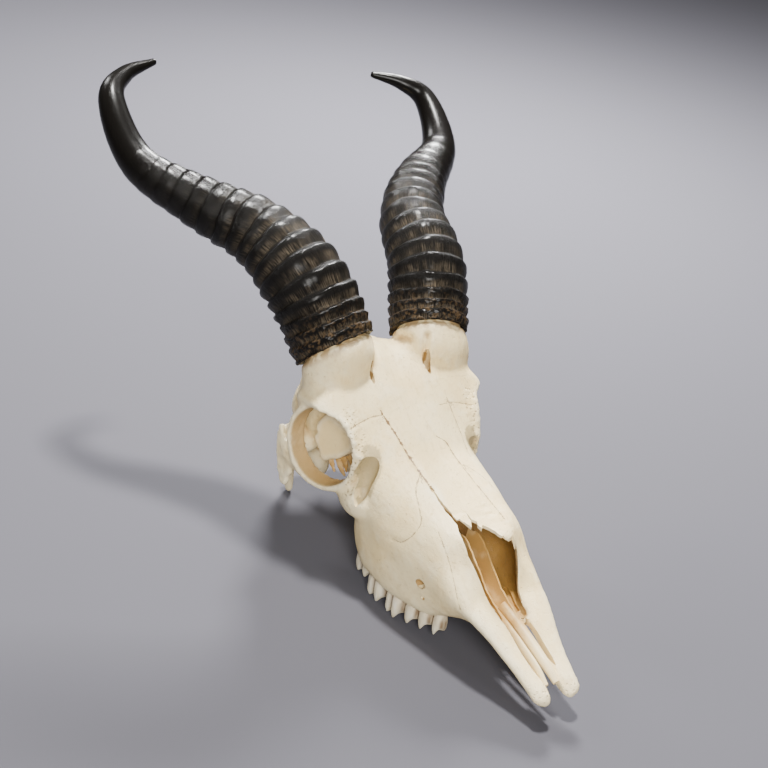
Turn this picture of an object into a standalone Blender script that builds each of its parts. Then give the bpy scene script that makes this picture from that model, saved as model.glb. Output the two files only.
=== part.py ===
"""Springbok skull with both horn sheaths and twelve upper cheek teeth.

The skull rests on its molars and on the two processes behind the ears.
+X is the animal's left, -Y is the way the nose points and +Z is up.
Sizes below are millimetres; the meshes are made in metres.
"""

import math

import bmesh
import bpy
import numpy as np
from mathutils import Matrix, Vector

MM = 0.001
CONTACT_GAP = 0.3

# Skull surface: voxel size of the fused bone, and the share of faces kept
BONE_VOXEL = 1.5
BONE_KEEP = 0.0395
BONE_SMOOTHING = 3
FACE_RINGS, FACE_POINTS = 26, 18
PASSAGE_RINGS, PASSAGE_POINTS = 9, 7

# Face, front to back. Each station is the distance along Y, then half-width and
# height of eight points that run from the roof's middle round to the palate's middle.
FACE_STATIONS = (
    (-118, ((0, 27), (7, 27), (13.5, 30), (17.5, 30), (19, 28.8), (16.5, 25.5), (9, 22.5), (0, 22.5))),
    (-108, ((0, 33), (9, 33), (15.5, 35.5), (20.3, 34.5), (22.5, 31), (19, 25), (10, 22), (0, 22.5))),
    (-95, ((0, 52.2), (11.2, 51.8), (14.8, 45.8), (22.8, 41), (25.4, 31), (21, 19.3), (12, 18), (0, 21))),
    (-86, ((0, 54.8), (12, 55.4), (19, 53.3), (24.3, 46.5), (26.8, 33), (23.5, 14.5), (14, 13), (0, 19))),
    (-72, ((0, 58.8), (12, 58.8), (21, 56.5), (27, 49), (30, 35), (28.5, 13.5), (18, 12), (0, 18))),
    (-55, ((0, 63.8), (12, 63.8), (23, 60), (30, 52), (33, 37), (31.5, 13.5), (20, 12), (0, 17))),
    (-40, ((0, 68), (12, 68), (24, 63.5), (31, 55), (33, 40), (31, 15), (20, 12), (0, 17))),
    (-29, ((0, 75), (14, 75), (24, 71), (30, 60), (31, 42), (27, 19), (17, 14), (0, 19))),
    (-20, ((0, 81), (14, 81), (20, 76), (22, 62), (21, 46), (18, 27), (12, 20), (0, 24))),
    (-8, ((0, 88), (12, 88), (16, 80), (17, 64), (16, 48), (13, 34), (9, 27), (0, 28))),
    (10, ((0, 94), (12, 94), (19, 86), (21, 68), (19, 50), (15, 36), (9, 29), (0, 29))),
    (24, ((0, 90), (10, 90), (18, 84), (22, 68), (20, 50), (14, 34), (8, 28), (0, 28))),
)

# Roof between and over the orbits, front to back: distance along Y, then the upper
# surface from the middle out to the brow.
BROW_STATIONS = (
    (-34, ((0, 71.5), (12, 71.5), (20, 69.5), (27, 67), (33, 64))),
    (-24, ((0, 78.2), (14, 78.5), (26, 77), (35, 75), (39.5, 72))),
    (-12, ((0, 87), (16, 88.5), (30, 88.5), (41, 86), (46.3, 82.5))),
    (-4, ((0, 91.5), (16, 94.5), (30, 97), (41, 89), (47, 82))),
    (2, ((0, 95), (16, 98.5), (31, 99), (42, 89), (47, 81))),
    (10, ((0, 98.6), (13, 99.5), (28, 96), (40, 88), (46.2, 79))),
    (18, ((0, 98.5), (9, 97), (20, 88), (33, 83), (39, 76))),
    (26, ((0, 95.5), (8, 94), (16, 87), (24, 81), (29, 76))),
)
BROW_THICKNESS, BROW_TAPER = 7.0, 0.93
BROW_RINGS, BROW_POINTS = 15, 12

# Orbit: a tube of bone whose mouth faces outward and a little forward
ORBIT_CENTRE = (43.0, -11.0, 62.0)
ORBIT_AXIS = (0.943, -0.326, 0.065)
ORBIT_RADIUS = 19.0
ORBIT_WALL = 2.6
ORBIT_DEPTH = 11.0
ORBIT_SIDES = 40
# Eye space inside the tube: radius at the back and at the mouth, length, and how far in
# its middle lies
EYE_BACK, EYE_MOUTH, EYE_LENGTH, EYE_MIDDLE = 17.0, 19.6, 26.0, 9.0
EYE_SIDES = 24

# Braincase and the pieces round its base
BRAINCASE = ((0, 26, 61), (29.5, 29, 33))
BRAINCASE_TILT, PLATE_TILT = -12.0, 8.0
CREST = ((0, 51, 74), (24, 4, 5))
OCCIPUT_PLATE = ((0, 47, 52), (24, 7.5, 22))
SKULL_BASE = ((0, 26, 31), (9, 26, 6))
CONDYLE = ((10, 52.5, 37), (6.2, 6.6, 9))
BULLA = ((15.5, 33, 24.5), (7, 10.5, 9))
EAR_TUBE = ((24, 33, 40), (9, 6, 6))
JAW_SOCKET = ((31, 24, 42), (10, 7, 4.5))
PAROCCIPITAL = (
    ((20, 45, 38), 6.5, 5.0),
    ((21.5, 46, 26), 5.5, 3.2),
    ((22, 45, 14), 4.2, 2.4),
    ((22, 43.5, 3), 2.8, 2.1),
    ((22, 43, -0.45), 1.7, 1.5),
)
MALAR = ((32.5, -30, 43), (5.5, 12, 8))
CHEEK_ARCH = (
    ((41.5, -8, 41.5), 3.0, 2.2),
    ((44.3, 4, 44.5), 4.4, 2.2),
    ((45.5, 14, 47.5), 5.4, 2.1),
    ((42.5, 23, 49), 5.0, 2.2),
    ((36, 29, 47), 4.6, 3.0),
    ((27, 31, 45), 4.6, 4.5),
)
CHEEK_HOOK = (
    ((44.5, 19.5, 57), 1.6, 1.3),
    ((45, 17, 50), 4.4, 2.0),
    ((45, 15.5, 40), 4.4, 1.9),
    ((44, 12.5, 32), 2.6, 1.5),
    ((43.5, 11, 27.5), 0.9, 0.8),
)
PTERYGOID = (
    ((10, -24, 19), 5.5, 1.8),
    ((9.5, -10, 22), 6.0, 1.5),
    ((10, 1, 25), 5.5, 1.6),
)
HAMULUS = (((10, -1, 22), 2.4, 1.4), ((10.3, 0, 17), 1.5, 1.1), ((10.8, 1.5, 13), 0.8, 0.8))

# Front of the snout: the two prongs, and the slim rods that lie between them
PRONG = (
    ((9.0, -155.4, 11.6), 3.0, 1.8),
    ((8.4, -153.5, 12.4), 4.6, 2.6),
    ((8.0, -149, 14.4), 5.3, 3.2),
    ((9.3, -141, 17.8), 5.2, 3.0),
    ((10.6, -132, 21.4), 5.8, 2.9),
    ((12.1, -122, 25.8), 6.9, 3.2),
    ((13.9, -112, 29.3), 7.9, 3.9),
    ((15.2, -102, 30.4), 8.6, 5.6),
)
PRONG_TILT = -8.0
ROD = (
    ((3.0, -148.5, 15.0), 1.6, 1.6),
    ((2.7, -141, 18.0), 1.9, 2.4),
    ((2.8, -130, 20.8), 2.1, 2.8),
    ((2.9, -118, 23.2), 2.2, 3.2),
    ((3.0, -106, 24.4), 2.2, 4.0),
)

ROD_COUNTS = 5, 6

# Nasal passage that the broken nose opens, and the two thin blades on its floor
PASSAGE_STATIONS = (
    (-48, ((0, 44), (4, 43), (6, 38), (4, 33), (0, 32))),
    (-60, ((0, 55), (9, 54), (19, 42), (13, 26), (0, 24.5))),
    (-74, ((0, 56), (11, 55.2), (23.5, 42), (17, 24), (0, 23))),
    (-86, ((0, 52), (12, 51), (21.5, 40), (16, 24), (0, 23.5))),
    (-96, ((0, 50.2), (10.2, 49.7), (18.6, 34.5), (14, 25.5), (0, 24))),
    (-106, ((0, 34), (9, 33.5), (15, 31.5), (10, 26.3), (0, 24))),
    (-118, ((0, 30), (6, 30), (10, 28.3), (6.5, 25), (0, 22.5))),
)
NOSE_FLOOR = 24.3
FLOOR_END = -117.0
ABOVE, BELOW = 95.0, 5.0
# Half-width of the nose opening seen from above, from the broken nasal bones forward
RIM = (
    (-85.5, 12.9), (-90, 13.6), (-94.6, 13.4), (-99, 12.2), (-102, 11.0), (-107, 9.0),
    (-112, 8.0), (-120, 6.6), (-128, 5.6), (-136, 4.9), (-146, 4.2), (-160, 3.6),
)
# Broken edge of the nasal bones seen from above, the animal's left to right
BROKEN_EDGE = (
    (12.4, -92.4), (10.6, -93.6), (7.6, -94.2), (5.5, -92.2), (4.2, -88.6), (0.9, -83.9),
    (-0.5, -85.4), (-1.6, -81.0), (-3.0, -75.8), (-3.6, -80.8), (-5.4, -83.8), (-8.3, -78.4),
    (-9.9, -78.6), (-11.4, -81.2), (-12.9, -85.5),
)
# Upright blades: upper edge along Y and Z, then the foot's height, the distance from the
# middle at foot and edge, and the thickness
BLADE_EDGE = ((-80, 46.5), (-90, 40.5), (-100, 33), (-107, 29), (-118, 27), (-128, 24.8))
BLADE_FOOT, BLADE_LOW, BLADE_HIGH, BLADE_THICKNESS = 21.5, 0.9, 3.9, 1.5
BLADE_RINGS = 6

# Small openings
WIDE_HOLE_SIDES, SMALL_HOLE_SIDES = 10, 6
BROW_SLIT = ((16.3, -4.0, 94.5), (1.7, 5.5, 6.0))
TEAR_PIT = ((33.0, -31.5, 54.0), (6.0, 4.6, 14.5))
CHEEK_HOLE = ((27.0, -82.5, 29.5), (4.5, 2.1, 1.7))
CHOANA = ((0, -9, 19), (8.0, 16.0, 7.0))
SPINE_HOLE = ((0, 57, 45.5), (8.2, 22, 7.6))
EAR_HOLE = ((34, 33, 40.5), (7.0, 2.6, 2.6))
ROD_SLIT = ((5.9, -128, 20), (1.0, 15, 9))
CRACK = ((-11.8, -58, 63.4), (-11.8, -65.3, 61.0), (-11.2, -73, 58.8), (-10.6, -82, 56.4))
CRACK_WIDTH = (0.35, 0.9, 1.3, 1.8)
CRACK_ABOVE, CRACK_DEPTH = 3.0, 7.0
CRACK_RINGS = 6

# Horns: points along the middle of each, and radii at even steps of the length
HORN_LEFT = (
    (27.0, 12.2, 101.9), (36.0, 35.1, 126.3), (44.4, 63.9, 138.2), (63.4, 88.7, 146.7),
    (86.9, 108.4, 158.5), (92.0, 133.5, 176.3), (80.8, 142.9, 183.8), (65.5, 152.0, 186.4),
)
HORN_RIGHT = (
    (-27.7, 9.9, 101.5), (-34.5, 32.6, 125.8), (-44.9, 61.4, 139.5), (-65.6, 88.1, 147.3),
    (-87.1, 111.9, 159.6), (-91.7, 136.5, 181.9), (-81.1, 147.8, 191.2), (-63.2, 151.3, 196.7),
)
SHEATH_LEFT_RADII = (19.1, 18.4, 15.9, 13.8, 9.4, 6.0, 1.5)
SHEATH_RIGHT_RADII = (19.6, 19.7, 16.0, 12.3, 8.9, 6.3, 1.5)
HORN_SIDES = 12
HORN_TIP_SHARES = (0.68, 0.74, 0.80, 0.85, 0.89, 0.92, 0.95, 0.975, 0.993)
HORN_FRONT = (0, -0.7, 0.7)
PATH_STEPS, RADIUS_STEPS = 400, 121

# Bony core in each sheath, the stalk that carries it, and the room round the sheath's foot
CORE_RADII = (15.7, 15.4, 13.3, 10.6, 7.4, 4.7, 1.0)
CORE_LENGTH_SHARE = 0.62
CORE_TAPER, CORE_FULLNESS = 0.93, 3.2
CORE_RINGS = 9
CORE_SIDES = 12
CORE_FOOT = 6.0
SOCKET_GAP = 0.6
ROOM_RADII = (22.5, 22.0, 19.3)
ROOM_SHARES = (0.0, 0.06, 0.12, 0.18, 0.24)
ROOM_SIDES = 20
PEDICLE_RADIUS = 17.6
PEDICLE_TOP_DEPTHS = (2.5, -1.0)
PEDICLE_FOOT = (
    ((28.0, 6.5, 95.5), 15.8, 17.2),
    ((28.0, 5.0, 87.0), 14.2, 17.0),
    ((27.0, 5.0, 77.0), 13.0, 15.0),
)
# Share of the horn's length at which each ring stands, close together at the foot
HORN_RING_PLACES = (
    0.008, 0.035, 0.062, 0.092, 0.127, 0.165, 0.206, 0.248, 0.291, 0.335, 0.379, 0.423,
    0.466, 0.508, 0.548, 0.586, 0.622,
)
HORN_RING_HEIGHT = 0.095
HORN_RING_FADE = 0.42
VALLEY_SHARE = 0.6

# Upper cheek teeth: middle of the crown along Y, middle across, length, width, tip height
TEETH = (
    ("premolar_2", -90.1, 17.8, 5.8, 6.5, 4.4),
    ("premolar_3", -83.4, 20.0, 6.8, 8.0, 3.6),
    ("premolar_4", -75.9, 21.6, 7.4, 9.5, 1.9),
    ("molar_1", -65.6, 23.2, 12.4, 11.5, 0.0),
    ("molar_2", -51.7, 23.9, 14.4, 12.0, 0.0),
    ("molar_3", -36.7, 22.2, 14.6, 10.5, 3.2),
)
TWO_LOBED_LENGTH = 10.0
GUM_LINE = 13.0
ROOT_DEPTH = 4.0
CUSP_DEPTH = 3.4
INNER_RISE = 1.6
# Corner rounding, swell at the gum, then the width left and the rise at the crown's last two rings
TOOTH_SQUARENESS, TOOTH_SWELL = 0.7, 1.02
CROWN_ENDS = ((0.97, 0.0), (0.62, 1.5))
SOCKET_LOW = -6.0


def mm(*values):
    return Vector(values) * MM


def smooth_through(points, count):
    """Evenly stepped samples of a smooth curve through the points."""
    points = np.asarray(points, float)
    padded = np.vstack([2 * points[0] - points[1], points, 2 * points[-1] - points[-2]])
    samples = []
    for step in np.linspace(0, len(points) - 1, count):
        i = min(int(step), len(points) - 2)
        t = step - i
        a, b, c, d = padded[i : i + 4]
        samples.append(
            0.5 * (2 * b + (c - a) * t + (2 * a - 5 * b + 4 * c - d) * t**2 + (3 * b - a - 3 * c + d) * t**3)
        )
    return np.array(samples)


def loft(bm, rings):
    """Closed skin over rings of equal point count, with flat ends."""
    verts = [[bm.verts.new(Vector(point) * MM) for point in ring] for ring in rings]
    count = len(verts[0])
    for lower, upper in zip(verts, verts[1:]):
        for i in range(count):
            j = (i + 1) % count
            bm.faces.new((lower[i], lower[j], upper[j], upper[i]))
    bm.faces.new(verts[0][::-1])
    bm.faces.new(verts[-1])
    return [vert for ring in verts for vert in ring]


def fix_normals(bm):
    bmesh.ops.recalc_face_normals(bm, faces=bm.faces)


def mirrored_ring(half, y, count):
    """Both halves of a section whose half runs from the top middle to the bottom middle."""
    side = smooth_through(half, count)
    ring = [(x, y, z) for x, z in side]
    ring += [(-x, y, z) for x, z in side[-2:0:-1]]
    return ring


def station_loft(bm, stations, along, around):
    """Loft through stations along Y, each a half section with the same point count."""
    ys = smooth_through([[y] for y, _ in stations], along)[:, 0]
    halves = smooth_through([np.ravel(half) for _, half in stations], along)
    return loft(bm, [mirrored_ring(half.reshape(-1, 2), y, around) for half, y in zip(halves, ys)])


def blob(bm, spec, tilt=0.0, segments=24):
    """Ellipsoid from a centre and three half-sizes, tilted about X."""
    centre, radii = spec
    made = bmesh.ops.create_uvsphere(bm, u_segments=segments, v_segments=segments // 2, radius=1.0)
    place = Matrix.Translation(mm(*centre)) @ Matrix.Rotation(math.radians(tilt), 4, "X")
    bmesh.ops.transform(bm, matrix=place @ Matrix.Diagonal((*(Vector(radii) * MM), 1)), verts=made["verts"])
    return made["verts"]


def limb(bm, stations, wide_axis, along=14, around=14, tilt=0.0):
    """Smooth bar through stations of (centre, half-size along wide_axis, half-size across it)."""
    rows = smooth_through([(*centre, wide, thin) for centre, wide, thin in stations], along)
    rings = []
    for i, row in enumerate(rows):
        ahead = Vector(rows[min(i + 1, len(rows) - 1)][:3] - rows[max(i - 1, 0)][:3]).normalized()
        wide = Matrix.Rotation(math.radians(tilt), 3, ahead) @ Vector(wide_axis)
        wide = (wide - wide.dot(ahead) * ahead).normalized()
        thin = ahead.cross(wide)
        turns = [2 * math.pi * k / around for k in range(around)]
        rings.append(
            [Vector(row[:3]) + wide * row[3] * math.cos(a) + thin * row[4] * math.sin(a) for a in turns]
        )
    return loft(bm, rings)


def both_sides(bm, verts):
    """Adds the mirror image of the geometry on the animal's right."""
    faces = {face for vert in verts for face in vert.link_faces}
    copy = bmesh.ops.duplicate(bm, geom=list(set(verts)) + list(faces))["geom"]
    new_verts = [item for item in copy if isinstance(item, bmesh.types.BMVert)]
    new_faces = [item for item in copy if isinstance(item, bmesh.types.BMFace)]
    bmesh.ops.scale(bm, vec=(-1, 1, 1), verts=new_verts)
    bmesh.ops.reverse_faces(bm, faces=new_faces)


def collection(name):
    made = bpy.data.collections.new(name)
    bpy.context.scene.collection.children.link(made)
    return made


def finish(bm, name, where, material=None):
    fix_normals(bm)
    mesh = bpy.data.meshes.new(name)
    bm.to_mesh(mesh)
    bm.free()
    obj = bpy.data.objects.new(name, mesh)
    where.objects.link(obj)
    if material:
        mesh.materials.append(material)
    else:
        obj.hide_render = True
        obj.display_type = "WIRE"
    return obj


def principled(name, colour, roughness):
    made = bpy.data.materials.new(name)
    made.use_nodes = True
    shader = made.node_tree.nodes["Principled BSDF"]
    shader.inputs["Base Color"].default_value = (*colour, 1)
    shader.inputs["Roughness"].default_value = roughness
    shader.inputs["Metallic"].default_value = 0.0
    made.diffuse_color = (*colour, 1)
    return made


def cut(obj, cutter, operation="DIFFERENCE"):
    boolean = obj.modifiers.new(cutter.name, "BOOLEAN")
    boolean.operation = operation
    boolean.object = cutter
    boolean.solver = "EXACT"


def horn_frame(points, share):
    """Middle point, direction and front-facing normal at a share of the horn's length."""
    path = smooth_through(points, PATH_STEPS)
    steps = np.linalg.norm(np.diff(path, axis=0), axis=1)
    reach = np.concatenate([[0], np.cumsum(steps)])
    wanted = share * reach[-1]
    here = Vector([np.interp(wanted, reach, path[:, k]) for k in range(3)])
    ahead = Vector([np.interp(wanted + 1, reach, path[:, k]) for k in range(3)])
    back = Vector([np.interp(max(wanted - 1, 0), reach, path[:, k]) for k in range(3)])
    direction = (ahead - back).normalized()
    side = direction.cross(Vector(HORN_FRONT)).normalized()
    return here, direction, side.cross(direction).normalized()


def radius_at(radii, share):
    """Radius at a share of the length, through radii at even steps of the whole of it."""
    places = np.linspace(0, 1, len(radii))
    fine = smooth_through(np.column_stack([places, radii]), RADIUS_STEPS)
    return float(np.interp(share, fine[:, 0], fine[:, 1]))


def horn_ring(points, share, radius, sides):
    here, direction, front = horn_frame(points, share)
    side = direction.cross(front)
    turns = [2 * math.pi * k / sides for k in range(sides)]
    return [here + (front * math.cos(a) + side * math.sin(a)) * radius for a in turns]


def ring_height(index):
    """Rings stand full at the foot and fade out towards the smooth point."""
    share = HORN_RING_PLACES[index] / HORN_RING_PLACES[-1]
    return HORN_RING_HEIGHT * min(1.0, (1.12 - share) / HORN_RING_FADE)


def horn_sheath(name, points, radii, where, material, cutters):
    """Ringed horn sheath with a blind socket for the bony core."""
    stations = [(0.0, 1.0)]
    for i, place in enumerate(HORN_RING_PLACES[:-1]):
        stations.append((place, 1 + ring_height(i)))
        stations.append((place + VALLEY_SHARE * (HORN_RING_PLACES[i + 1] - place), 1.0))
    stations.append((HORN_RING_PLACES[-1], 1 + ring_height(-1)))
    stations += [(share, 1.0) for share in HORN_TIP_SHARES]
    bm = bmesh.new()
    loft(bm, [horn_ring(points, s, radius_at(radii, s) * swell, HORN_SIDES) for s, swell in stations])
    sheath = finish(bm, name, where, material)
    socket = bmesh.new()
    loft(socket, core_rings(points, SOCKET_GAP))
    cut(sheath, finish(socket, name + "_socket", cutters))
    return sheath


def core_rings(points, gap):
    """Rings of the bony core, gap millimetres wider, from below the sheath's rim up."""
    rings = []
    for share in np.linspace(0, CORE_LENGTH_SHARE, CORE_RINGS):
        taper = 1 - CORE_TAPER * (share / CORE_LENGTH_SHARE) ** CORE_FULLNESS
        rings.append(horn_ring(points, share, radius_at(CORE_RADII, share) * taper + gap, CORE_SIDES))
    foot_direction = horn_frame(points, 0)[1]
    tip_direction = horn_frame(points, CORE_LENGTH_SHARE)[1]
    rings.insert(0, [point - foot_direction * CORE_FOOT for point in rings[0]])
    rings[-1] = [point + tip_direction * 2 * gap for point in rings[-1]]
    return rings


def sheath_room(points):
    """Rings a little wider than the sheath, which clear the bone round its foot."""
    ends = np.linspace(0, ROOM_SHARES[-1], len(ROOM_RADII))
    rings = [horn_ring(points, s, float(np.interp(s, ends, ROOM_RADII)), ROOM_SIDES) for s in ROOM_SHARES]
    direction = horn_frame(points, 0)[1]
    return [[point - direction * 2 * CONTACT_GAP for point in rings[0]]] + rings


def pedicle(bm, points):
    """Bony stalk from inside the forehead up to the sheath's rim."""
    here, direction, front = horn_frame(points, 0)
    side = math.copysign(1, here.x)
    stations = [((x * side, y, z), deep, wide) for (x, y, z), deep, wide in PEDICLE_FOOT[::-1]]
    for depth in PEDICLE_TOP_DEPTHS:
        stations.append((tuple(here - direction * depth), PEDICLE_RADIUS, PEDICLE_RADIUS))
    return limb(bm, stations, tuple(front), along=12, around=24)


def orbit_matrix(depth):
    """Places a shape made along +Z on the orbit's axis, depth millimetres inward."""
    axis = Vector(ORBIT_AXIS).normalized()
    turn = axis.to_track_quat("Z", "Y").to_matrix().to_4x4()
    return Matrix.Translation((Vector(ORBIT_CENTRE) - axis * depth) * MM) @ turn


def orbit_drum(bm, back, mouth, length, middle, sides):
    """Round plug or cutter on the orbit's axis, its middle so far inward."""
    made = bmesh.ops.create_cone(
        bm, cap_ends=True, segments=sides, radius1=back * MM, radius2=mouth * MM, depth=length * MM
    )
    bmesh.ops.transform(bm, matrix=orbit_matrix(middle), verts=made["verts"])
    return made["verts"]


def brow(bm):
    """Slab whose top follows the brow stations."""
    rings = []
    ys = smooth_through([[y] for y, _ in BROW_STATIONS], BROW_RINGS)[:, 0]
    tops = smooth_through([np.ravel(top) for _, top in BROW_STATIONS], BROW_RINGS)
    for y, top in zip(ys, tops):
        over = smooth_through(top.reshape(-1, 2), BROW_POINTS)
        under = (over - (0, BROW_THICKNESS)) * (BROW_TAPER, 1)
        rings.append(
            [(x, y, z) for x, z in over] + [(x, y, z) for x, z in under[::-1]]
            + [(-x, y, z) for x, z in under[1:]] + [(-x, y, z) for x, z in over[:0:-1]]
        )
    return loft(bm, rings)


def skull_forms():
    """All the bone that is fused into one body, still without its openings."""
    bm = bmesh.new()
    station_loft(bm, FACE_STATIONS, FACE_RINGS, FACE_POINTS)
    brow(bm)
    blob(bm, BRAINCASE, BRAINCASE_TILT)
    blob(bm, CREST)
    blob(bm, OCCIPUT_PLATE, PLATE_TILT)
    blob(bm, SKULL_BASE)
    sides = []
    for spec in (CONDYLE, BULLA, EAR_TUBE, JAW_SOCKET, MALAR):
        sides += blob(bm, spec)
    sides += limb(bm, PAROCCIPITAL, (0, 1, 0))
    sides += limb(bm, CHEEK_ARCH, (0, 0, 1))
    sides += limb(bm, CHEEK_HOOK, (0, 1, 0))
    sides += limb(bm, PTERYGOID, (0, 0, 1))
    sides += limb(bm, HAMULUS, (0, 1, 0))
    sides += limb(bm, PRONG, (1, 0, 0), tilt=PRONG_TILT)
    outside = ORBIT_RADIUS + ORBIT_WALL
    sides += orbit_drum(bm, outside, outside, ORBIT_DEPTH, ORBIT_DEPTH / 2, ORBIT_SIDES)
    both_sides(bm, sides)
    for points in (HORN_LEFT, HORN_RIGHT):
        pedicle(bm, points)
    return bm


def prism(bm, outline, low, high):
    """Upright prism over an outline seen from above."""
    verts = loft(bm, [[(x, y, low) for x, y in outline], [(x, y, high) for x, y in outline]])
    bmesh.ops.triangulate(bm, faces=[face for face in bm.faces if len(face.verts) > 4])
    return verts


def opening_cutter(bm):
    """Prism that opens the nose from above, with the broken edge behind."""
    rim = [point for point in RIM if point[0] > FLOOR_END]
    left = [(w, y) for y, w in rim if y < BROKEN_EDGE[0][1]]
    right = [(-w, y) for y, w in rim if y < BROKEN_EDGE[-1][1]]
    outline = list(BROKEN_EDGE) + right + left[::-1]
    return prism(bm, outline, NOSE_FLOOR, ABOVE)


def prong_gap_cutter(bm):
    """Prism that parts the two prongs in front of the nasal floor."""
    rim = [point for point in RIM if point[0] < FLOOR_END + 5]
    outline = [(-w, y) for y, w in rim] + [(w, y) for y, w in rim[::-1]]
    return prism(bm, outline, BELOW, ABOVE)


def crack_cutter(bm):
    """Thin wedge along the open seam between nasal bone and cheek."""
    rows = smooth_through([(*point, width) for point, width in zip(CRACK, CRACK_WIDTH)], CRACK_RINGS)
    rings = []
    for x, y, z, width in rows:
        low, high, left, right = z - CRACK_DEPTH, z + CRACK_ABOVE, x - width / 2, x + width / 2
        rings.append([(left, y, high), (right, y, high), (right, y, low), (left, y, low)])
    return loft(bm, rings)


def blade(bm):
    """Thin upright blade on the nasal floor, leaning outward."""
    half = BLADE_THICKNESS / 2
    rings = []
    for y, top in smooth_through(BLADE_EDGE, BLADE_RINGS):
        rings.append(
            [(BLADE_LOW - half, y, BLADE_FOOT), (BLADE_LOW + half, y, BLADE_FOOT),
             (BLADE_HIGH + half, y, top), (BLADE_HIGH - half, y, top)]
        )
    return loft(bm, rings)


def tooth_outline(length, width, steps):
    """Plan of a crown: a block with rounded corners."""
    points = []
    for k in range(steps):
        a = 2 * math.pi * k / steps
        y = 0.5 * length * math.copysign(abs(math.cos(a)) ** TOOTH_SQUARENESS, math.cos(a))
        x = 0.5 * width * math.copysign(abs(math.sin(a)) ** TOOTH_SQUARENESS, math.sin(a))
        points.append((x, y))
    return points


def tooth_lobes(spec):
    return 2 if spec[3] > TWO_LOBED_LENGTH else 1


def cusp_line(spec, x, y):
    """Height of the chewing edge: a cusp on each lobe of the cheek side, level within."""
    _, _, _, length, width, tip = spec
    lobes = tooth_lobes(spec)
    phase = math.cos(2 * math.pi * lobes * y / length) * (-1 if lobes == 2 else 1)
    cheek = 0.5 + x / width
    return tip + CUSP_DEPTH * 0.5 * (1 - phase) * cheek + INNER_RISE * (1 - cheek)


def tooth_block(bm, spec, grow, make_rings):
    """Loft in the tooth's place, from the root down through the rings that are given."""
    _, y0, x0, length, width, _ = spec
    outline = tooth_outline(length + 2 * grow, width + 2 * grow, 6 + 2 * tooth_lobes(spec))
    rings = [[(x, y, GUM_LINE + ROOT_DEPTH + grow) for x, y in outline]] + make_rings(outline)
    return loft(bm, [[(x + x0, y + y0, z) for x, y, z in ring] for ring in rings])


def tooth(bm, spec):
    """Crown with pointed cheek-side cusps and a root that sits in the jaw."""
    def crown(outline):
        neck = [(x * TOOTH_SWELL, y * TOOTH_SWELL, GUM_LINE - 1) for x, y in outline]
        return [neck] + [
            [(x * share, y * share, cusp_line(spec, x, y) + rise) for x, y in outline]
            for share, rise in CROWN_ENDS
        ]
    return tooth_block(bm, spec, 0.0, crown)


def tooth_socket(bm, spec):
    def mouth(outline):
        return [[(x * TOOTH_SWELL, y * TOOTH_SWELL, SOCKET_LOW) for x, y in outline]]
    return tooth_block(bm, spec, CONTACT_GAP, mouth)


def make_cutter(name, cutters, make, *args, side=1):
    """Cutter from one of the shape functions above, mirrored where side is -1."""
    bm = bmesh.new()
    make(bm, *args)
    bmesh.ops.scale(bm, vec=(side, 1, 1), verts=bm.verts)
    return finish(bm, name, cutters)


def sided(name, side):
    return f"{name}_left" if side > 0 else f"{name}_right"


def fit_horns(body, cutters):
    """Clears the bone round each sheath's foot, then grows the bony core into the sheath."""
    for side, points in ((1, HORN_LEFT), (-1, HORN_RIGHT)):
        cut(body, make_cutter(sided("sheath_room", side), cutters, loft, sheath_room(points)))
        core = make_cutter(sided("horn_core", side), cutters, loft, core_rings(points, 0.0))
        cut(body, core, "UNION")


def open_nose(body, cutters):
    for name, make in (("nose_opening", opening_cutter), ("prong_gap", prong_gap_cutter),
                       ("nose_crack", crack_cutter)):
        cut(body, make_cutter(name, cutters, make))
    cut(body, make_cutter("nose_passage", cutters, station_loft, PASSAGE_STATIONS,
                          PASSAGE_RINGS, PASSAGE_POINTS))
    for side in (1, -1):
        cut(body, make_cutter(sided("nose_blade", side), cutters, blade, side=side), "UNION")
        rod = make_cutter(sided("nose_rod", side), cutters, limb, ROD, (1, 0, 0), *ROD_COUNTS, side=side)
        cut(body, rod, "UNION")


def open_holes(body, cutters):
    for name, spec in (("choana", CHOANA), ("spine_hole", SPINE_HOLE)):
        cut(body, make_cutter(name, cutters, blob, spec, 0.0, WIDE_HOLE_SIDES))
    paired = (("brow_slit", BROW_SLIT), ("tear_pit", TEAR_PIT), ("cheek_hole", CHEEK_HOLE),
              ("ear_hole", EAR_HOLE), ("rod_slit", ROD_SLIT))
    for side in (1, -1):
        eye = (EYE_BACK, EYE_MOUTH, EYE_LENGTH, EYE_MIDDLE, EYE_SIDES)
        cut(body, make_cutter(sided("eye_space", side), cutters, orbit_drum, *eye, side=side))
        for name, spec in paired:
            cut(body, make_cutter(sided(name, side), cutters, blob, spec, 0.0, SMALL_HOLE_SIDES, side=side))
        for spec in TEETH:
            name = sided(spec[0] + "_socket", side)
            cut(body, make_cutter(name, cutters, tooth_socket, spec, side=side))


def skull(where, cutters, bone):
    body = finish(skull_forms(), "skull", where, bone)
    fuse = body.modifiers.new("fuse", "REMESH")
    fuse.mode = "VOXEL"
    fuse.voxel_size = BONE_VOXEL * MM
    soften = body.modifiers.new("soften", "SMOOTH")
    soften.factor = 0.5
    soften.iterations = BONE_SMOOTHING
    thin = body.modifiers.new("facets", "DECIMATE")
    thin.ratio = BONE_KEEP
    fit_horns(body, cutters)
    open_nose(body, cutters)
    open_holes(body, cutters)
    return body


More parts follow.
